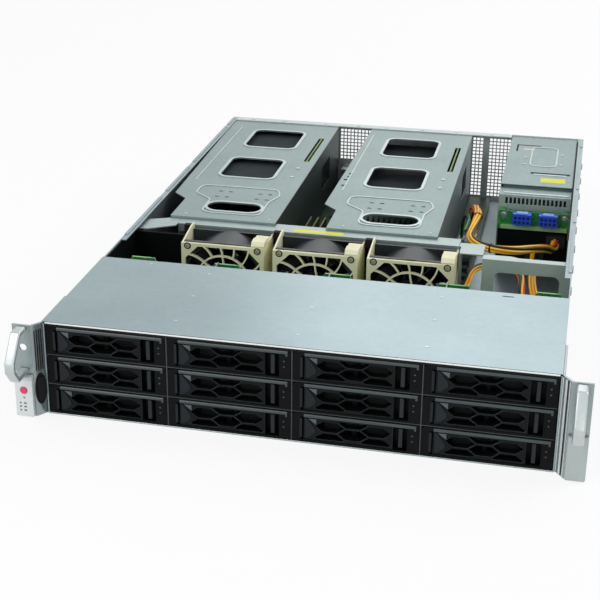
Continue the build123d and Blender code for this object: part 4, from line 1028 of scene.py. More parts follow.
@dataclass
class ChassisShell:
    """Chassis tray, rear panel, drive cage and front cover with their rivets and wall strips."""

    cover_top: float = 88.0
    wall_top: float = 86.8
    half_width: float = 217.0
    rivet_radius: float = 1.6
    cover_rivets: tuple[Flat, ...] = (
        (-107.0, 28.0),
        (-107.0, 82.0),
        (-107.0, 134.0),
        (-166.5, 146.0),
        (0.0, 24.0),
        (0.0, 82.0),
        (107.0, 26.0),
        (107.0, 80.0),
        (107.0, 130.0),
    )
    strips: tuple[Flat, ...] = ((216.0, 330.0), (352.0, 437.0), (457.0, 602.0), (612.0, 640.0))
    strip_width: float = 3.4
    strip_height: float = 0.9
    flange_distance: float = 642.0
    flange_screws: tuple[float, ...] = (-190.0, -150.0, -96.0, -56.0, -20.0, 24.0, 66.0, 108.0)
    shelf_height: float = 20.0

    def build(self) -> None:
        """Dress the shell and add its small details."""
        front = behind(0.0)
        wide = self.half_width + 1.0
        tray = dress("chassis_tray", "chassis", CHASSIS_ZINC, 0.15, self.wall_details())
        # The chassis tray's lower front edge gets a near-white painted highlight
        paint_within(tray, HIGHLIGHT_EDGE_ZINC, (-wide, front - 1, -1), (wide, front + 0.6, 3))
        dress("rear_panel", "chassis", LIT_PANEL_ZINC, 0, self.flange_details())
        cage = dress("drive_cage", "chassis", self.cage_finish)
        # The cage's front edges are darkened grey: painted shade
        paint_within(cage, DIVIDER_SHADE_GREY, (-wide, front, 0), (wide, front + 1.5, 90))
        cover = dress("front_cover", "chassis", COVER_ZINC, 0.1, self.cover_details())
        # The cover's turned-down front edge, over the bays, is painted dark like the cage's shelves: painted shade
        paint_within(cover, CAGE_SHADE_BLACK, (-wide, front - 0.05, 80), (wide, front + 1.0, self.cover_top - 0.05))

    def cage_finish(self, low: Vector, high: Vector) -> Finish:
        """Dividers in zinc, shelves black towards the bays as painted shade between the trays."""
        return CAGE_ZINC if high.z - low.z > self.shelf_height else CAGE_SHADE_BLACK

    def cover_details(self) -> list[bpy.types.Object]:
        """Rivet heads in a lighter zinc as painted highlights, the latch slot as a black block of painted shade, and a
        painted highlight strip along the cover's front edge.
        """
        top = self.cover_top
        rivets = [
            disc(f"rivet_{number}", RIDGE_HIGHLIGHT_ZINC, (x, behind(distance), top - SEAT), self.rivet_radius, 0.3, "Z", 0.15)
            for number, (x, distance) in enumerate(self.cover_rivets)
        ]
        # The latch slot is drawn as a black block: painted shade
        slot = block(
            "cover_slot_shade", SHADE_AND_RUBBER_BLACK, (159.0, behind(143.8), top - 0.3), (169.0, behind(145.6), top + FILM_SEAT), 0
        )
        reach = self.half_width - 2.0
        # A pale strip along the cover's front edge: a painted highlight
        edge = block("cover_edge_highlight", HIGHLIGHT_EDGE_ZINC, (-reach, behind(-0.35), top - 1.5), (reach, behind(0.05), top - 0.1), 0.15)
        return [*rivets, slot, edge]

    def wall_details(self) -> list[bpy.types.Object]:
        """Raised strips along both wall tops, rivets beside them, a black strip of painted shade in the right fold's
        gap and a black sheet of painted shade on the left wall.
        """
        top = self.wall_top
        pieces = []
        for side in (-1, 1):
            outer = side * self.half_width
            inner = side * (self.half_width - self.strip_width)
            for index, (start, end) in enumerate(self.strips):
                low = (min(outer, inner), behind(start), top - SEAT)
                high = (max(outer, inner), behind(end), top + self.strip_height)
                pieces.append(block(f"wall_strip_{side}_{index}", CHASSIS_ZINC, low, high))
                spot = (side * (self.half_width - 4.2), behind(start + 7.0), top - SEAT)
                pieces.append(disc(f"wall_rivet_{side}_{index}", STEEL_SCREW, spot, 0.7, 0.5, "Z", 0.1, 12))
        # A black strip in the right fold's gap and a black sheet on the left wall's inner face: painted shade
        gap = (209.3, behind(300.0), top - FILM_SEAT), (211.2, behind(636.0), top + 0.06)
        film = (-215.75, behind(156.0), 3.0), (-215.2, behind(243.0), 85.0)
        return [*pieces, block("wall_gap_shade", SHADE_AND_RUBBER_BLACK, *gap, 0), block("wall_shade_sheet", SHADE_AND_TRAY_BLACK, *film, 0)]

    def flange_details(self) -> list[bpy.types.Object]:
        """Screws along the rear flange."""
        y = behind(self.flange_distance)
        return [
            cross_screw(f"flange_screw_{number}", STEEL_SCREW, (x, y, self.wall_top - SEAT), 1.9, "Z", 1)
            for number, x in enumerate(self.flange_screws)
        ]


@dataclass
class DriveBays:
    """The twelve drive trays, levers and releases; details are drawn from a tray's lower left front corner."""

    columns: int = 4
    rows: int = 3
    bay_pitch: float = 107.9
    row_pitch: float = 28.0
    tray_width: float = 106.2
    tray_height: float = 26.5
    floor: float = 1.55
    front: float = 0.6
    drive_width: float = 103.0
    bar_left: float = 10.0
    bar_right: float = 103.6
    shield: Flat = (6.3, 8.5)
    light_x: float = 100.5
    light_drops: Flat = (10.2, 15.3)
    lever_left: float = 11.0

    def build(self) -> None:
        """Dress every bay's pieces and copy the front details to it."""
        details = self.front_details()
        lever_details = self.lever_details()
        number = 0
        for row in reversed(range(self.rows)):
            for column in range(self.columns):
                number += 1
                middle = (column + 0.5 - self.columns / 2) * self.bay_pitch
                spot = (middle - self.tray_width / 2, behind(self.front), self.floor + row * self.row_pitch)
                name = f"{number:02d}"
                tray_extra = [copy_at(piece, f"{piece.name}_{name}", spot) for piece in details]
                lever_extra = [copy_at(piece, f"{piece.name}_{name}", spot) for piece in lever_details]
                dress(f"drive_tray_{name}", f"bay_{name}", self.tray_finish, 0.25, tray_extra)
                dress(
                    f"tray_lever_{name}", f"lever_{name}", LEVER_BLACK, 0.35, lever_extra, LEVER_HIGHLIGHT_GREY
                )
                dress(f"tray_release_{name}", f"release_{name}", RELEASE_GREY, 0.2)
        discard(*details, *lever_details)

    def tray_finish(self, low: Vector, high: Vector) -> Finish:
        """Dark drive inside, black plastic for the tray itself."""
        return DRIVE_DARK if high.x - low.x < self.drive_width else SHADE_AND_TRAY_BLACK

    def front_details(self) -> list[bpy.types.Object]:
        """Top bar with its turned-down end, in a grey that paints the light on its top, shield over the lever pin and
        lights of one tray.
        """
        top = self.tray_height
        section = [(0.4, top - 0.3), (-0.7, top - 1.6), (-0.7, top - 3.2), (0.4, top - 3.5)]
        left, right = self.shield
        lights = [
            disc(f"tray_light_{index}", LIGHT_GREY, (self.light_x, 0.3, top - drop), 0.8, -0.5, "Y", 0.1, 12)
            for index, drop in enumerate(self.light_drops)
        ]
        return [
            plate("tray_bar", LIT_BAR_GREY, section, Lie.SIDE, self.bar_left, self.bar_right, 0.15),
            block("tray_bar_end", LIT_BAR_GREY, (101.9, -0.7, top - 5.2), (self.bar_right, 0.4, top - 3.0), 0.15),
            block("tray_shield", PLATE_BLACK, (left, -0.5, 4.0), (right, -0.15, top - 4.6), 0.1),
            block("tray_shield_root", PLATE_BLACK, (left, -0.3, 4.2), (left + 0.8, 0.2, top - 4.8), 0),
            *lights,
        ]

    def lever_details(self) -> list[bpy.types.Object]:
        """Angular plate and pale corner at a lever's left end."""
        left = self.lever_left
        top = self.tray_height - 4.6
        outline = [(left, 4.0), (14.0, 4.0), (19.6, 9.0), (19.6, 12.5), (12.5, top), (left, top)]
        corner = [(13.6, top - 0.1), (20.4, top - 0.1), (20.4, top - 5.0)]
        return [
            plate("lever_plate", PLATE_BLACK, outline, Lie.FRONT, -0.1, 0.8, 0.1),
            plate("lever_corner", CORNER_GREY, corner, Lie.FRONT, -0.08, 0.8, 0.05),
        ]


@dataclass
class Ears:
    """Rack ears with their pull handles, panel and power button."""

    panel_middle: float = -232.95
    panel_face: float = -328.0
    slant_start: Flat = (-224.0, -324.0)
    slant_end: Flat = (-217.0, -314.4)
    pad_height: float = 30.0
    pad_width: float = 11.6
    pad_middle: float = 26.0
    light_heights: tuple[float, ...] = (14.6, 11.2, 7.8)
    light_marks: tuple[Flat, ...] = ((-3.6, 1.6), (0.6, 2.6))
    ribs: int = 4
    rib_heights: Flat = (44.0, 82.0)
    # Light and dark upright bands on the right ear's folded face: painted highlights and painted shade
    light_and_shade_bands: tuple[tuple[float, float, Finish], ...] = (
        (0.08, 0.16, PANEL_SILVER),
        (0.3, 0.36, SHADE_AND_RUBBER_BLACK),
        (0.42, 0.62, PANEL_SILVER),
        (0.86, 0.94, PANEL_SILVER),
    )
    fold_heights: Flat = (2.0, 86.0)
    flange_x: float = 219.1
    screw_heights: tuple[float, ...] = (72.0, 60.0, 28.0, 16.0)

    def build(self) -> None:
        """Dress both ears and the button."""
        dress("left_ear", "chassis", self.ear_finish, 0.35, self.left_details())
        dress("right_ear", "chassis", self.ear_finish, 0.35, self.right_details())
        dress("power_button", "power_button", BUTTON_PINK)

    def left_details(self) -> list[bpy.types.Object]:
        """Ledge, status lights, ribs, pad and screws of the left ear."""
        face = self.panel_face
        middle = self.panel_middle
        pieces = [
            block("panel_ledge", HANDLE_SILVER, (middle - 6.8, face - 1.0, 37.0), (middle + 6.8, face + 0.5, 40.4), 0.5)
        ]
        for row, height in enumerate(self.light_heights):
            for index, (offset, width) in enumerate(self.light_marks):
                low = (middle + offset - width / 2, face - 0.12, height - 0.7)
                high = (middle + offset + width / 2, face + 0.2, height + 0.7)
                pieces.append(block(f"status_light_{row}_{index}", PANEL_INK, low, high, 0.08))
        for rib in range(self.ribs):
            shares = (0.2 + 0.18 * rib, 0.27 + 0.18 * rib)
            pieces.append(self.streak(-1, f"ear_rib_{rib}", SHADE_AND_RUBBER_BLACK, shares, self.rib_heights))
        return [*pieces, self.pad(), *self.screws(-1)]

    def pad(self) -> bpy.types.Object:
        """Black oval pad that fills the left ear's folded face below the ribs."""
        start, end = Vector(self.slant_start), Vector(self.slant_end)
        along = end - start
        middle = (start + end) / 2
        clear_selection()
        bpy.ops.mesh.primitive_cylinder_add(
            vertices=40,
            radius=self.pad_height / 2 * MM,
            depth=0.9 * MM,
            location=metres((middle.x, middle.y, self.pad_middle)),
            rotation=(math.pi / 2, 0, math.atan2(along.y, along.x)),
            scale=(self.pad_width / self.pad_height, 1, 1),
        )
        pad = settle(bpy.context.active_object)
        pad.name = "ear_pad"
        return paint(round_edges(pad, 0.25), SHADE_AND_RUBBER_BLACK)

    def right_details(self) -> list[bpy.types.Object]:
        """Light and dark lines of the folded face, painted highlights and painted shade, and the screws of the right
        ear.
        """
        lines = [
            self.streak(1, f"fold_line_{number}", finish, (first, last), self.fold_heights)
            for number, (first, last, finish) in enumerate(self.light_and_shade_bands)
        ]
        return [*lines, *self.screws(1)]

    def streak(self, side: int, name: str, finish: Finish, shares: Flat, heights: Flat) -> bpy.types.Object:
        """Thin upright strip on an ear's folded face.

        Args:
            side: -1 for the left ear, 1 for the right one.
            name: Name of the strip.
            finish: Its finish.
            shares: Its sides, as shares of the face's width from the outer fold.
            heights: Its lower and upper end.

        Returns:
            The strip.
        """
        start = Vector(self.slant_start)
        along = Vector(self.slant_end) - start
        out = Vector((-along.y, along.x)).normalized() * -0.3
        near, far = (start + along * share for share in shares)
        outline = [(-side * point.x, point.y) for point in (near, far, far + out, near + out)]
        return plate(name, finish, outline, Lie.FLOOR, *heights, 0)

    def screws(self, side: int) -> list[bpy.types.Object]:
        """Bright screws that hold an ear's flange to the chassis side."""
        spots = [
            (side * self.flange_x, behind(22.0 + 26.0 * (index % 2)), height)
            for index, height in enumerate(self.screw_heights)
        ]
        return [
            cross_screw(f"ear_screw_{side}_{index}", STEEL_SCREW, spot, 2.6, "X", side)
            for index, spot in enumerate(spots)
        ]

    @staticmethod
    def ear_finish(low: Vector, high: Vector) -> Finish:
        """Long plate, low oval pad, high handle, and the panel, which the light leaves greyer on the right."""
        if high.y - low.y > 60:
            return EAR_SILVER
        if high.z - low.z < 26:
            return SHADE_AND_RUBBER_BLACK
        if low.z > 41:
            return HANDLE_SILVER
        return PANEL_SILVER if low.x < 0 else SHADED_SILVER


@dataclass
class FanRow:
    """The three fan modules and their rotors."""

    count: int = 3
    middle_x: float = -26.6
    pitch: float = 92.9
    face: float = 225.5
    axis_z: float = 41.4
    screw_offset: float = 35.5
    sink_radius: float = 3.6
    screw_radius: float = 2.5
    guard_depth: float = 3.2
    bore_radius: float = 39.5
    hub_radius: float = 9.0
    hub_distance: float = 7.1
    frame_width: float = 82.0

    def build(self) -> None:
        """Dress each module and rotor."""
        for number in range(1, self.count + 1):
            x = self.middle_x + (number - 2) * self.pitch
            module = dress(
                f"fan_module_{number}", f"fan_{number}", self.module_finish, 0.35, self.screws(number, x)
            )
            axis = Vector((x, 0, self.axis_z))
            # The bore's inner faces take the rotor black: painted shade inside the fan
            paint_where(
                module, SHADE_AND_ROTOR_BLACK, lambda centre, normal, axis=axis: self.in_bore(centre - axis, normal)
            )
            spot = (x, behind(self.face + self.hub_distance), self.axis_z)
            hub = disc(f"hub_label_{number}", LABEL_GREY, spot, self.hub_radius, -0.2, "Y", 0.05, 32)
            dress(f"fan_rotor_{number}", f"rotor_{number}", SHADE_AND_ROTOR_BLACK, 0, [hub])

    def screws(self, number: int, x: float) -> list[bpy.types.Object]:
        """Four pale cross-head screws in the corners of one frame, on dark rings that paint the shade round their
        heads.
        """
        spots = [(dx, dz) for dx in (-1, 1) for dz in (-1, 1)]
        pieces = []
        for index, (dx, dz) in enumerate(spots):
            place = (x + dx * self.screw_offset, behind(self.face), self.axis_z + dz * self.screw_offset)
            name = f"{number}_{index}"
            # Dark ring under each screw: painted shade
            pieces.append(disc(f"fan_sink_{name}", SHADE_AND_RUBBER_BLACK, place, self.sink_radius, -0.12, "Y", 0.04))
            pieces.append(cross_screw(f"fan_screw_{name}", PALE_SCREW, place, self.screw_radius, "Y", -1))
        return pieces

    def in_bore(self, spot: Vector, normal: Vector) -> bool:
        """Whether a face, placed from the fan's axis, faces into the bore behind the guard."""
        radial = Vector((spot.x, 0, spot.z))
        deep = spot.y > behind(self.face + self.guard_depth)
        return deep and radial.length < self.bore_radius and normal.dot(radial) < 0.0

    def module_finish(self, low: Vector, high: Vector) -> Finish:
        """Cream for the frame, black for the fan housing."""
        return FAN_CREAM if high.x - low.x > self.frame_width else HOUSING_BLACK


@dataclass
class Partition:
    """Fan beam with its plain yellow sticker, and the bracket beside it."""

    sticker_x: Flat = (-58.0, -8.0)
    sticker_distances: Flat = (272.0, 279.5)
    beam_top: float = 83.0

    def build(self) -> None:
        """Dress the beam and the bracket."""
        left, right = self.sticker_x
        near, far = (behind(distance) for distance in self.sticker_distances)
        top = self.beam_top
        sticker = block("beam_sticker", LABEL_YELLOW, (left, near, top - FILM_SEAT), (right, far, top + FILM), 0)
        dress("fan_beam", "chassis", self.beam_finish, 0.3, [sticker])
        dress("side_bracket", "chassis", BRACKET_ZINC, 0.3)

    @staticmethod
    def beam_finish(low: Vector, high: Vector) -> Finish:
        """Small rubber bushings, a high wide black baffle whose black paints the shade of the empty fan bay, zinc for
        the rest.
        """
        size = high - low
        if size.z < 9.6 and size.x < 10:
            return SHADE_AND_RUBBER_BLACK
        return SHADE_AND_TRAY_BLACK if size.z > 60 and size.x > 30 else BEAM_ZINC


@dataclass
class RiserCage:
    """One riser cage with its ridges, bumps, holes and cards; outlines are drawn from its right edge."""

    node: str
    right: float
    bump_distances: Flat
    wall: ZincSheet
    holes: tuple[Flat, ...] = ()
    top: float = 85.5
    ridge: tuple[Flat, ...] = (
        (-105.5, 386.0),
        (-18.5, 386.0),
        (-13.0, 366.0),
        (-20.0, 343.0),
        (-20.0, 300.0),
        (-84.5, 300.0),
        (-84.5, 340.0),
        (-105.5, 358.0),
    )
    fold: tuple[Flat, ...] = ((-117.6, 612.0), (-116.2, 612.0), (-116.2, 400.0), (-117.6, 400.0))

    def build(self) -> None:
        """Dress the cage, with the edges pressed up from its top plate painted brighter as highlights."""
        cage = dress(self.node, "chassis", self.cage_finish, 0.25, self.details())
        low = (self.right - 150, behind(280), self.top + 0.3)
        paint_within(cage, RIDGE_HIGHLIGHT_ZINC, low, (self.right, behind(640), self.top + 2))

    def drawn(self, outline: Sequence[Flat]) -> list[Flat]:
        """Corners in the frame of points drawn from the cage's right edge."""
        return [(self.right + x, behind(distance)) for x, distance in outline]

    def details(self) -> list[bpy.types.Object]:
        """Pressed ridge round the hole clusters, folded line, bumps and rivets, painted brighter as highlights, and
        small holes as black discs of painted shade.
        """
        seat = self.top - FILM_SEAT
        name = self.node
        pieces = [
            rim(f"{name}_ridge", RIDGE_HIGHLIGHT_ZINC, rounded(self.drawn(self.ridge), 12.0), seat, 0.8, 1.9),
            plate(f"{name}_edge", RIDGE_HIGHLIGHT_ZINC, self.drawn(self.fold), Lie.FLOOR, seat, self.top + 0.5, 0.22),
        ]
        for index, distance in enumerate(self.bump_distances):
            spot = (self.right - 15.0, behind(distance), seat)
            pieces.append(disc(f"{name}_bump_{index}", RIDGE_HIGHLIGHT_ZINC, spot, 2.2, 0.9, "Z", 0.5))
        for index, x in enumerate((self.right - 8.0, self.right - 96.0)):
            spot = (x, behind(292.0), seat)
            pieces.append(disc(f"{name}_front_rivet_{index}", RIDGE_HIGHLIGHT_ZINC, spot, 1.5, 0.5, "Z", 0.2, 16))
        # Small holes drawn as thin black discs: painted shade
        for index, (x, distance) in enumerate(self.holes):
            spot = (x, behind(distance), seat)
            pieces.append(disc(f"{name}_slot_{index}", SHADE_AND_RUBBER_BLACK, spot, 2.3, 0.08, "Z", 0.02, 16))
        return pieces

    def cage_finish(self, low: Vector, high: Vector) -> Finish:
        """Long zinc sheets, a thin riser card with a pale edge and a dark expansion card."""
        size = high - low
        if size.y > 300:
            return RISER_ZINC if size.x > 60 else self.wall
        return RISER_GREEN if size.x < 5 else CARD_DARK


@dataclass
class Boards:
    """Backplane, main board and power board with their small parts."""

    backplane_face: float = 169.0
    board_thickness: float = 1.8
    tab_top: float = 84.0
    tabs: tuple[Flat, ...] = ((-197.0, -171.0), (-115.0, -88.0), (-9.0, 18.0), (97.0, 127.0), (185.0, 209.0))
    wedges: tuple[float, ...] = (-104.0, 2.0, 110.0)
    wedge_section: tuple[Flat, ...] = ((0.0, 75.0), (7.0, 75.0), (7.0, 78.0), (2.0, 82.5), (0.0, 82.5))
    board_top: float = 8.0
    capacitors: int = 9
    capacitor_start: Flat = (90.5, 312.0)
    capacitor_pitch: float = 14.0
    capacitor_height: float = 10.5
    chokes: int = 5
    choke_x: Flat = (98.5, 108.0)
    choke_start: float = 318.0
    choke_pitch: float = 21.0
    chips: tuple[Point, ...] = ((-52.0, 470.0, 26.0), (-58.0, 520.0, 18.0), (-44.0, 556.0, 14.0), (-68.0, 590.0, 10.0))
    modules: int = 6
    module_x: float = -72.5
    module_pitch: float = 8.0
    latch_distances: Flat = (304.5, 434.0)
    power_face: float = 418.0
    blue_sockets: Flat = (160.25, 187.75)
    corner_screws: Flat = (141.0, 204.5)
    corner_height: float = 66.5

    def build(self) -> None:
        """Dress the three boards."""
        dress("backplane", "chassis", self.backplane_finish, 0, self.tab_details())
        dress("main_board", "chassis", self.board_finish, 0, self.board_parts())
        dress("power_board", "chassis", self.power_finish, 0, self.power_parts())

    def tab_details(self) -> list[bpy.types.Object]:
        """Pale edges of the tabs and white guide wedges behind some of them."""
        front = behind(self.backplane_face)
        rear = behind(self.backplane_face + self.board_thickness)
        pieces = []
        for index, (left, right) in enumerate(self.tabs):
            low = (left + 3.5, front - 0.1, self.tab_top - 0.35)
            high = (right - 3.5, rear + 0.1, self.tab_top + 0.15)
            pieces.append(block(f"tab_edge_{index}", BOARD_EDGE, low, high, 0.1))
        section = [(rear + depth, height) for depth, height in self.wedge_section]
        for index, x in enumerate(self.wedges):
            pieces.append(plate(f"guide_wedge_{index}", SOCKET_WHITE, section, Lie.SIDE, x - 5.0, x + 5.0, 0.4))
        return pieces

    def board_parts(self) -> list[bpy.types.Object]:
        """Capacitors, chokes, chips and memory latches on the main board."""
        top = self.board_top
        pieces = []
        for index in range(self.capacitors):
            x, distance = self.capacitor_start
            y = behind(distance + self.capacitor_pitch * index)
            pieces.append(
                disc(f"capacitor_{index}", SOCKET_BLACK, (x, y, top), 4.0, self.capacitor_height, "Z", 0.5, 20)
            )
            spot = (x, y, top + self.capacitor_height - 0.1)
            pieces.append(disc(f"capacitor_top_{index}", ALUMINIUM, spot, 3.4, 0.2, "Z", 0.05, 20))
        left, right = self.choke_x
        for index in range(self.chokes):
            start = behind(self.choke_start + self.choke_pitch * index)
            pieces.append(block(f"choke_{index}", CARD_DARK, (left, start, top), (right, start + 10.0, top + 7.0), 0.8))
        for index, (x, distance, size) in enumerate(self.chips):
            low = (x - size / 2, behind(distance), top)
            high = (x + size / 2, behind(distance + size), top + 2.4)
            pieces.append(block(f"chip_{index}", SOCKET_BLACK, low, high))
        for index in range(self.modules):
            x = self.module_x + self.module_pitch * index
            for end, distance in enumerate(self.latch_distances):
                low = (x - 2.6, behind(distance) - 3.0, top)
                high = (x + 2.6, behind(distance) + 3.0, top + 17.0)
                pieces.append(block(f"memory_latch_{index}_{end}", SOCKET_WHITE, low, high, 0.8))
            low = (x - 0.85, behind(306.0), top + 30.6)
            pieces.append(block(f"memory_edge_{index}", MEMORY_EDGE, low, (x + 0.85, behind(435.0), top + 31.6), 0.1))
        return pieces

    def power_parts(self) -> list[bpy.types.Object]:
        """Cells and latches of the blue sockets, pale bar, a black sheet of painted shade over the board's lower half,
        and corner screws.
        """
        face = behind(self.power_face)
        pieces = []
        for socket, x in enumerate(self.blue_sockets):
            for column in range(4):
                for row in range(2):
                    across, up = x - 6.6 + 4.4 * column, 61.6 + 4.8 * row
                    low = (across - 1.5, face - 9.35, up - 1.5)
                    high = (across + 1.5, face - 9.1, up + 1.5)
                    pieces.append(block(f"cell_{socket}_{column}_{row}", SOCKET_NAVY, low, high, 0))
            low, high = (x - 6.0, face - 7.5, 70.3), (x + 6.0, face - 1.0, 71.4)
            pieces.append(block(f"socket_latch_{socket}", SOCKET_PALE, low, high))
        pieces.append(block("pale_bar", BOARD_EDGE, (138.0, face - 2.4, 51.0), (208.0, face - 0.05, 55.6), 0.4))
        # Black sheet over the board's lower half: painted shade
        pieces.append(block("lower_shade_sheet", SHADE_AND_TRAY_BLACK, (135.5, face - 0.3, 2.0), (209.5, face - 0.02, 50.6), 0))
        for index, x in enumerate(self.corner_screws):
            pad, head = (x, face - 0.02, self.corner_height), (x, face - 0.1, self.corner_height)
            pieces.append(disc(f"corner_pad_{index}", ALUMINIUM, pad, 3.2, -0.15, "Y", 0.03))
            pieces.append(cross_screw(f"corner_screw_{index}", STEEL_SCREW, head, 2.2, "Y", -1))
        return pieces

    def backplane_finish(self, low: Vector, high: Vector) -> Finish:
        """Wide green board, white power sockets behind it and black drive sockets before it."""
        if high.x - low.x > 300:
            return BOARD_GREEN
        return SOCKET_WHITE if low.y > behind(self.backplane_face) else SOCKET_BLACK

    @staticmethod
    def board_finish(low: Vector, high: Vector) -> Finish:
        """Finish of one of the main board's parts from its size and place."""
        size = high - low
        if size.x > 300:
            return SHADED_MAIN_GREEN
        if size.x > 70 and size.y > 90:
            return SINK_DARK
        if 120 < size.y < 140 and size.x < 3:
            return MEMORY_GREEN
        if size.y > 90 or size.z < 6:
            return SOCKET_BLACK
        return ALUMINIUM if high.y > 320 else SOCKET_WHITE

    @staticmethod
    def power_finish(low: Vector, high: Vector) -> Finish:
        """Wide green board with blue sockets above black ones."""
        if high.x - low.x > 60:
            return BOARD_GREEN
        return SOCKET_BLUE if low.z > 55 else SOCKET_BLACK


@dataclass
class PowerSupplies:
    """The two supplies in their cage; the details of a supply are drawn from its middle, rear and floor."""

    middle: float = 172.5
    floors: Flat = (2.0, 43.4)
    rear: float = 333.0
    cage_top: float = 85.5
    square: tuple[Flat, ...] = ((159.0, 532.0), (190.0, 532.0), (190.0, 602.0), (183.0, 606.0), (159.0, 606.0))
    dimples: tuple[Flat, ...] = ((153.5, 564.0), (153.9, 538.0), (194.7, 580.4), (194.2, 542.6))
    # X and distance ranges of the recesses and labels of the cage's top plate
    recesses: tuple[tuple[str, Flat, Flat], ...] = (
        ("slot_shadow_rear", (141.1, 168.9), (610.6, 613.4)),
        ("slot_shadow_side", (141.1, 142.9), (587.2, 612.8)),
        ("slot_shadow_front", (162.7, 205.3), (505.2, 510.8)),
    )
    labels: tuple[tuple[str, Finish, Flat, Flat, Flat], ...] = (
        ("cage_label", LABEL_YELLOW, (174.6, 201.3), (477.0, 492.0), (-FILM_SEAT, FILM)),
        ("small_label", LABEL_WHITE, (149.5, 162.5), (594.5, 600.0), (-FILM_SEAT, FILM)),
        ("small_label_bar", LABEL_ORANGE, (149.5, 162.5), (597.2, 599.0), (0.1, 0.15)),
    )
    supply_screws: tuple[Flat, ...] = ((4.0, 35.5), (33.0, 35.5), (4.0, 4.5), (33.0, 4.5))

    def build(self) -> None:
        """Dress the cage and both supplies, whose inlets are black with gold blades."""
        cage = dress("supply_cage", "chassis", SUPPLY_ZINC, 0.2, self.cage_details())
        # The cage's front face takes the lighter, less metallic bracket zinc: painted light on a face the lamps leave
        # dark
        paint_within(cage, BRACKET_ZINC, (134, behind(437.8), 0), (211, behind(438.2), 82))
        middle, rear = self.middle, self.rear
        for node, floor in zip(("supply_lower", "supply_upper"), self.floors):
            piece = dress(node, node, SUPPLY_ZINC, 0, self.supply_details(node, floor))
            low = (middle - 32.2, rear - 17.2, floor + 9.6)
            high = (middle - 3.8, rear - 0.02, floor + 30.0)
            paint_within(piece, SOCKET_BLACK, low, high)
            blades_low = (low[0] + 3, rear - 13.9, low[2] + 3)
            paint_within(piece, GOLD_CONTACT, blades_low, (high[0] - 3, rear - 5, high[2] - 3))
            grip_low = (middle - 4, rear + 0.05, floor)
            paint_within(piece, SHADE_AND_TRAY_BLACK, grip_low, (middle + 38, rear + 30, floor + 40))

    def cage_details(self) -> list[bpy.types.Object]:
        """Pressed square, dimples and ridges painted brighter as highlights, dark recesses as painted shadow, and
        labels of the cage's top plate.
        """
        top = self.cage_top
        seat = top - FILM_SEAT
        square = rounded([(x, behind(distance)) for x, distance in self.square], 9.0)
        pieces = [rim("cage_ridge", RIDGE_HIGHLIGHT_ZINC, square, seat, 0.7, 1.8)]
        for index, (x, distance) in enumerate(self.dimples):
            spot = (x, behind(distance), seat)
            pieces.append(disc(f"cage_dimple_{index}", RIDGE_HIGHLIGHT_ZINC, spot, 2.0, 0.7, "Z", 0.4, 20))
        step = (138.0, behind(443.0), 81.98), (207.0, behind(446.0), 82.8)
        flap = (166.0, behind(501.4), seat), (202.0, behind(504.8), top + 0.5)
        pieces.append(block("step_ridge", RIDGE_HIGHLIGHT_ZINC, *step, 0.35))
        pieces.append(block("cage_flap", RIDGE_HIGHLIGHT_ZINC, *flap))
        for name, (left, right), (near, far) in self.recesses:
            low, high = (left, behind(near), top - 0.9), (right, behind(far), top - 0.1)
            pieces.append(block(name, SHADE_AND_RUBBER_BLACK, low, high, 0))
        for name, finish, (left, right), (near, far), (under, over) in self.labels:
            low, high = (left, behind(near), top + under), (right, behind(far), top + over)
            pieces.append(block(name, finish, low, high, 0))
        return pieces

    def supply_details(self, node: str, floor: float) -> list[bpy.types.Object]:
        """Status light, latch and screws on a supply's rear face."""
        middle, seat = self.middle, self.rear - SEAT
        low, high = (middle - 31.0, seat, floor + 2.2), (middle - 5.0, self.rear + 2.4, floor + 7.0)
        screws = [
            cross_screw(f"{node}_screw_{index}", STEEL_SCREW, (middle + x, seat, floor + z), 1.9, "Y", 1)
            for index, (x, z) in enumerate(self.supply_screws)
        ]
        return [
            disc(f"{node}_light", STATUS_GREEN, (middle - 33.0, seat, floor + 33.0), 1.2, 0.8, "Y", 0.3, 16),
            block(f"{node}_latch", RELEASE_RED, low, high, 0.6),
            *screws,
        ]


class Layout(Enum):
    """How a bundle's strands lie: those round the middle, whether one runs inside, their share of its radius."""

    SEVEN = (6, True, 0.325)
    FIVE = (5, True, 0.36)
    THREE = (3, False, 0.46)


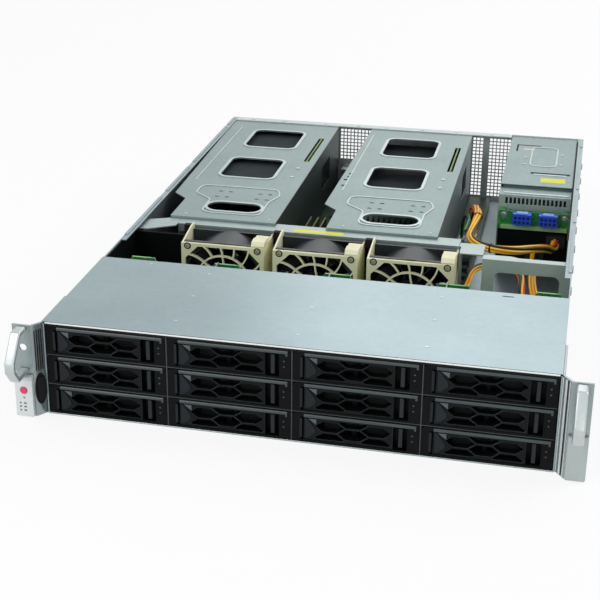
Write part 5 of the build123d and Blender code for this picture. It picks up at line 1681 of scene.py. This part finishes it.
@dataclass
class Bundle:
    """One bundle of insulated wires along its route: X, distance behind the bays, Z."""

    name: str
    diameter: float
    layout: Layout
    finishes: tuple[Finish, ...]
    route: tuple[Point, ...]
    ties: tuple[float, ...] = ()
    tie_thickness: float = 1.5
    twist: float = 0.0035
    samples: int = 12

    def path(self) -> list[Vector]:
        """Points in millimetres along the bundle's middle, as a NURBS through its route."""
        data = bpy.data.curves.new(f"{self.name}_path", "CURVE")
        data.dimensions = "3D"
        data.resolution_u = self.samples
        spline = data.splines.new("NURBS")
        spline.points.add(len(self.route) - 1)
        for point, (x, distance, z) in zip(spline.points, self.route):
            point.co = (x * MM, behind(distance) * MM, z * MM, 1.0)
        spline.order_u = 3
        spline.use_endpoint_u = True
        obj = bpy.data.objects.new(f"{self.name}_path", data)
        bpy.context.scene.collection.objects.link(obj)
        mesh = obj.to_mesh()
        points = [vertex.co / MM for vertex in mesh.vertices]
        obj.to_mesh_clear()
        discard(obj)
        return points

    def build(self) -> list[bpy.types.Object]:
        """Lay every strand of the bundle and bind it with ties."""
        points = self.path()
        frames = self.frames(points)
        count, inner, share = self.layout.value
        radius = self.diameter / 2 * share
        strands = []
        for number in range(count + inner):
            offset = 0.0 if inner and number == count else self.diameter / 2 - radius
            angle = 2 * math.pi * number / count
            strands.append(self.strand(number, points, frames, offset, angle, radius))
        return [*strands, *self.bind(points)]

    def bind(self, points: Sequence[Vector]) -> list[bpy.types.Object]:
        """Black cable ties round the bundle, at shares of its length."""
        pieces = []
        for number, share in enumerate(self.ties):
            index = round(share * (len(points) - 1))
            ahead = (points[index + 1] - points[index - 1]).normalized()
            clear_selection()
            bpy.ops.mesh.primitive_torus_add(
                location=metres(points[index]),
                rotation=ahead.to_track_quat("Z", "Y").to_euler(),
                major_radius=(self.diameter / 2 - 0.2) * MM,
                minor_radius=self.tie_thickness / 2 * MM,
                major_segments=24,
                minor_segments=8,
            )
            tie = settle(bpy.context.active_object)
            tie.name = f"{self.name}_tie_{number}"
            pieces.append(paint(smooth(tie, TUBE_ANGLE), SHADE_AND_RUBBER_BLACK))
        return pieces

    def frames(self, points: Sequence[Vector]) -> list[tuple[Vector, Vector]]:
        """Two directions across the path at each point, carried along it without spin."""
        side = Vector((0.0, 0.0, 1.0))
        frames = []
        for index in range(len(points)):
            ahead = points[min(index + 1, len(points) - 1)] - points[max(index - 1, 0)]
            ahead.normalize()
            if index == 0 and abs(ahead.z) > 0.9:
                side = Vector((1.0, 0.0, 0.0))
            side = (side - ahead * side.dot(ahead)).normalized()
            frames.append((side.copy(), ahead.cross(side)))
        return frames

    def strand(
        self,
        number: int,
        points: Sequence[Vector],
        frames: Sequence[tuple[Vector, Vector]],
        offset: float,
        start: float,
        radius: float,
    ) -> bpy.types.Object:
        """One wire of the bundle, as a mesh tube.

        Args:
            number: Its place in the bundle.
            points: The bundle's middle, in millimetres.
            frames: Directions across it.
            offset: Distance of the wire from the middle.
            start: Its first angle about the middle.
            radius: Radius of the wire.

        Returns:
            The wire.
        """
        data = bpy.data.curves.new(f"{self.name}_wire_{number}", "CURVE")
        data.dimensions = "3D"
        data.bevel_depth = radius * MM
        data.bevel_resolution = 2
        data.use_fill_caps = True
        spline = data.splines.new("POLY")
        spline.points.add(len(points) - 1)
        travelled = 0.0
        for index, (point, (side, up)) in enumerate(zip(points, frames)):
            if index:
                travelled += (point - points[index - 1]).length
            angle = start + self.twist * travelled * 2 * math.pi
            place = point + (side * math.cos(angle) + up * math.sin(angle)) * offset
            spline.points[index].co = (*(place * MM), 1.0)
        obj = bpy.data.objects.new(data.name, data)
        bpy.context.scene.collection.objects.link(obj)
        choose(obj)
        bpy.ops.object.convert(target="MESH")
        return paint(smooth(bpy.context.active_object, TUBE_ANGLE), self.finishes[number % len(self.finishes)])


@dataclass
class WireHarness:
    """The power and signal bundles, held between their sockets."""

    bundles: tuple[Bundle, ...]

    def build(self) -> None:
        """Lay every bundle and let it stand for the CAD tubes."""
        pieces = [piece for bundle in self.bundles for piece in bundle.build()]
        obj = join("wire_harness_dressed", pieces)
        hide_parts("wire_harness")
        finish_piece(obj, "chassis")


# Routes of the harness: X, distance behind the bay face and Z of each point, in millimetres
ROUTE_MAIN = (
    (104.0, 462.0, 20.4),
    (104.0, 462.0, 41.3),
    (105.5, 453.7, 55.7),
    (109.0, 439.3, 64.0),
    (114.5, 415.0, 65.0),
    (113.5, 389.0, 64.0),
    (112.0, 365.0, 63.0),
    (112.0, 349.1, 62.0),
    (119.2, 335.0, 62.0),
    (132.0, 325.6, 62.0),
    (147.7, 323.2, 62.0),
    (162.7, 328.1, 61.0),
    (176.0, 341.6, 59.0),
    (190.0, 360.0, 54.0),
    (197.0, 384.0, 42.0),
    (197.0, 408.6, 42.0),
)
ROUTE_DRIVE = (
    (176.0, 408.6, 26.0),
    (176.0, 386.0, 26.0),
    (180.0, 362.0, 32.0),
    (185.0, 338.0, 43.0),
    (186.0, 316.0, 53.0),
    (182.0, 296.0, 59.0),
    (179.0, 272.0, 60.0),
    (181.0, 248.0, 56.0),
    (188.0, 222.0, 49.5),
    (197.0, 201.0, 44.0),
    (197.0, 181.6, 44.0),
)
ROUTE_JUMPER = (
    (118.0, 181.6, 50.0),
    (118.0, 200.0, 50.0),
    (119.0, 221.0, 54.5),
    (120.5, 240.0, 59.0),
    (121.5, 258.6, 62.0),
    (128.1, 269.9, 63.5),
    (139.4, 276.5, 64.0),
    (152.6, 276.5, 64.0),
    (163.9, 269.9, 63.0),
    (170.5, 258.6, 61.0),
    (171.5, 240.0, 57.0),
    (174.0, 221.0, 51.0),
    (178.0, 201.0, 44.0),
    (178.0, 181.6, 44.0),
)
ROUTE_SIGNAL = (
    (93.0, 470.0, 16.4),
    (93.0, 470.0, 33.0),
    (97.0, 452.0, 48.0),
    (101.0, 432.0, 57.0),
    (105.5, 410.0, 62.0),
    (106.6, 389.0, 64.0),
    (105.2, 368.0, 63.0),
)
YELLOW_MIX = (WIRE_YELLOW, WIRE_YELLOW, WIRE_ORANGE, WIRE_YELLOW, WIRE_BLACK, WIRE_YELLOW, WIRE_YELLOW)
MAIN_MIX = (WIRE_YELLOW, WIRE_ORANGE, WIRE_RED, WIRE_YELLOW, WIRE_BLACK, WIRE_YELLOW, WIRE_YELLOW)
JUMPER_MIX = (WIRE_YELLOW, WIRE_RED, WIRE_YELLOW, WIRE_BLACK, WIRE_ORANGE)
HARNESS = WireHarness(
    (
        Bundle("main", 9.0, Layout.SEVEN, MAIN_MIX, ROUTE_MAIN, (0.27, 0.62)),
        Bundle("drive", 8.0, Layout.FIVE, YELLOW_MIX, ROUTE_DRIVE, (0.4,)),
        Bundle("jumper", 7.0, Layout.FIVE, JUMPER_MIX, ROUTE_JUMPER),
        Bundle("signal", 4.0, Layout.THREE, (WIRE_GREEN, WIRE_VIOLET, WIRE_BLACK), ROUTE_SIGNAL),
    )
)
# Small round holes in the middle cage's top plate: X and distance behind the bay face
CAGE_HOLES = ((-33.1, 458.8), (-33.1, 448.2), (-35.1, 437.3), (-34.3, 417.6))


def main() -> None:
    """Build the studio and every sub-assembly."""
    logging.basicConfig(level=logging.INFO, format="%(name)s %(message)s")
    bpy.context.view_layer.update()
    bpy.context.scene.view_settings.view_transform = "Standard"
    assemblies = (
        Studio(),
        HARNESS,
        ChassisShell(),
        Ears(),
        DriveBays(),
        FanRow(),
        Partition(),
        # The left cage's wall takes the dark zinc that paints its shade
        RiserCage("riser_cage_left", -79.5, (463.5, 432.0), SHADED_ZINC),
        RiserCage("riser_cage_middle", 85.1, (461.3, 431.5), WALL_ZINC, CAGE_HOLES),
        Boards(),
        PowerSupplies(),
    )
    for assembly in assemblies:
        assembly.build()
        LOG.info("%s built", type(assembly).__name__)


if __name__ == "__main__":
    main()
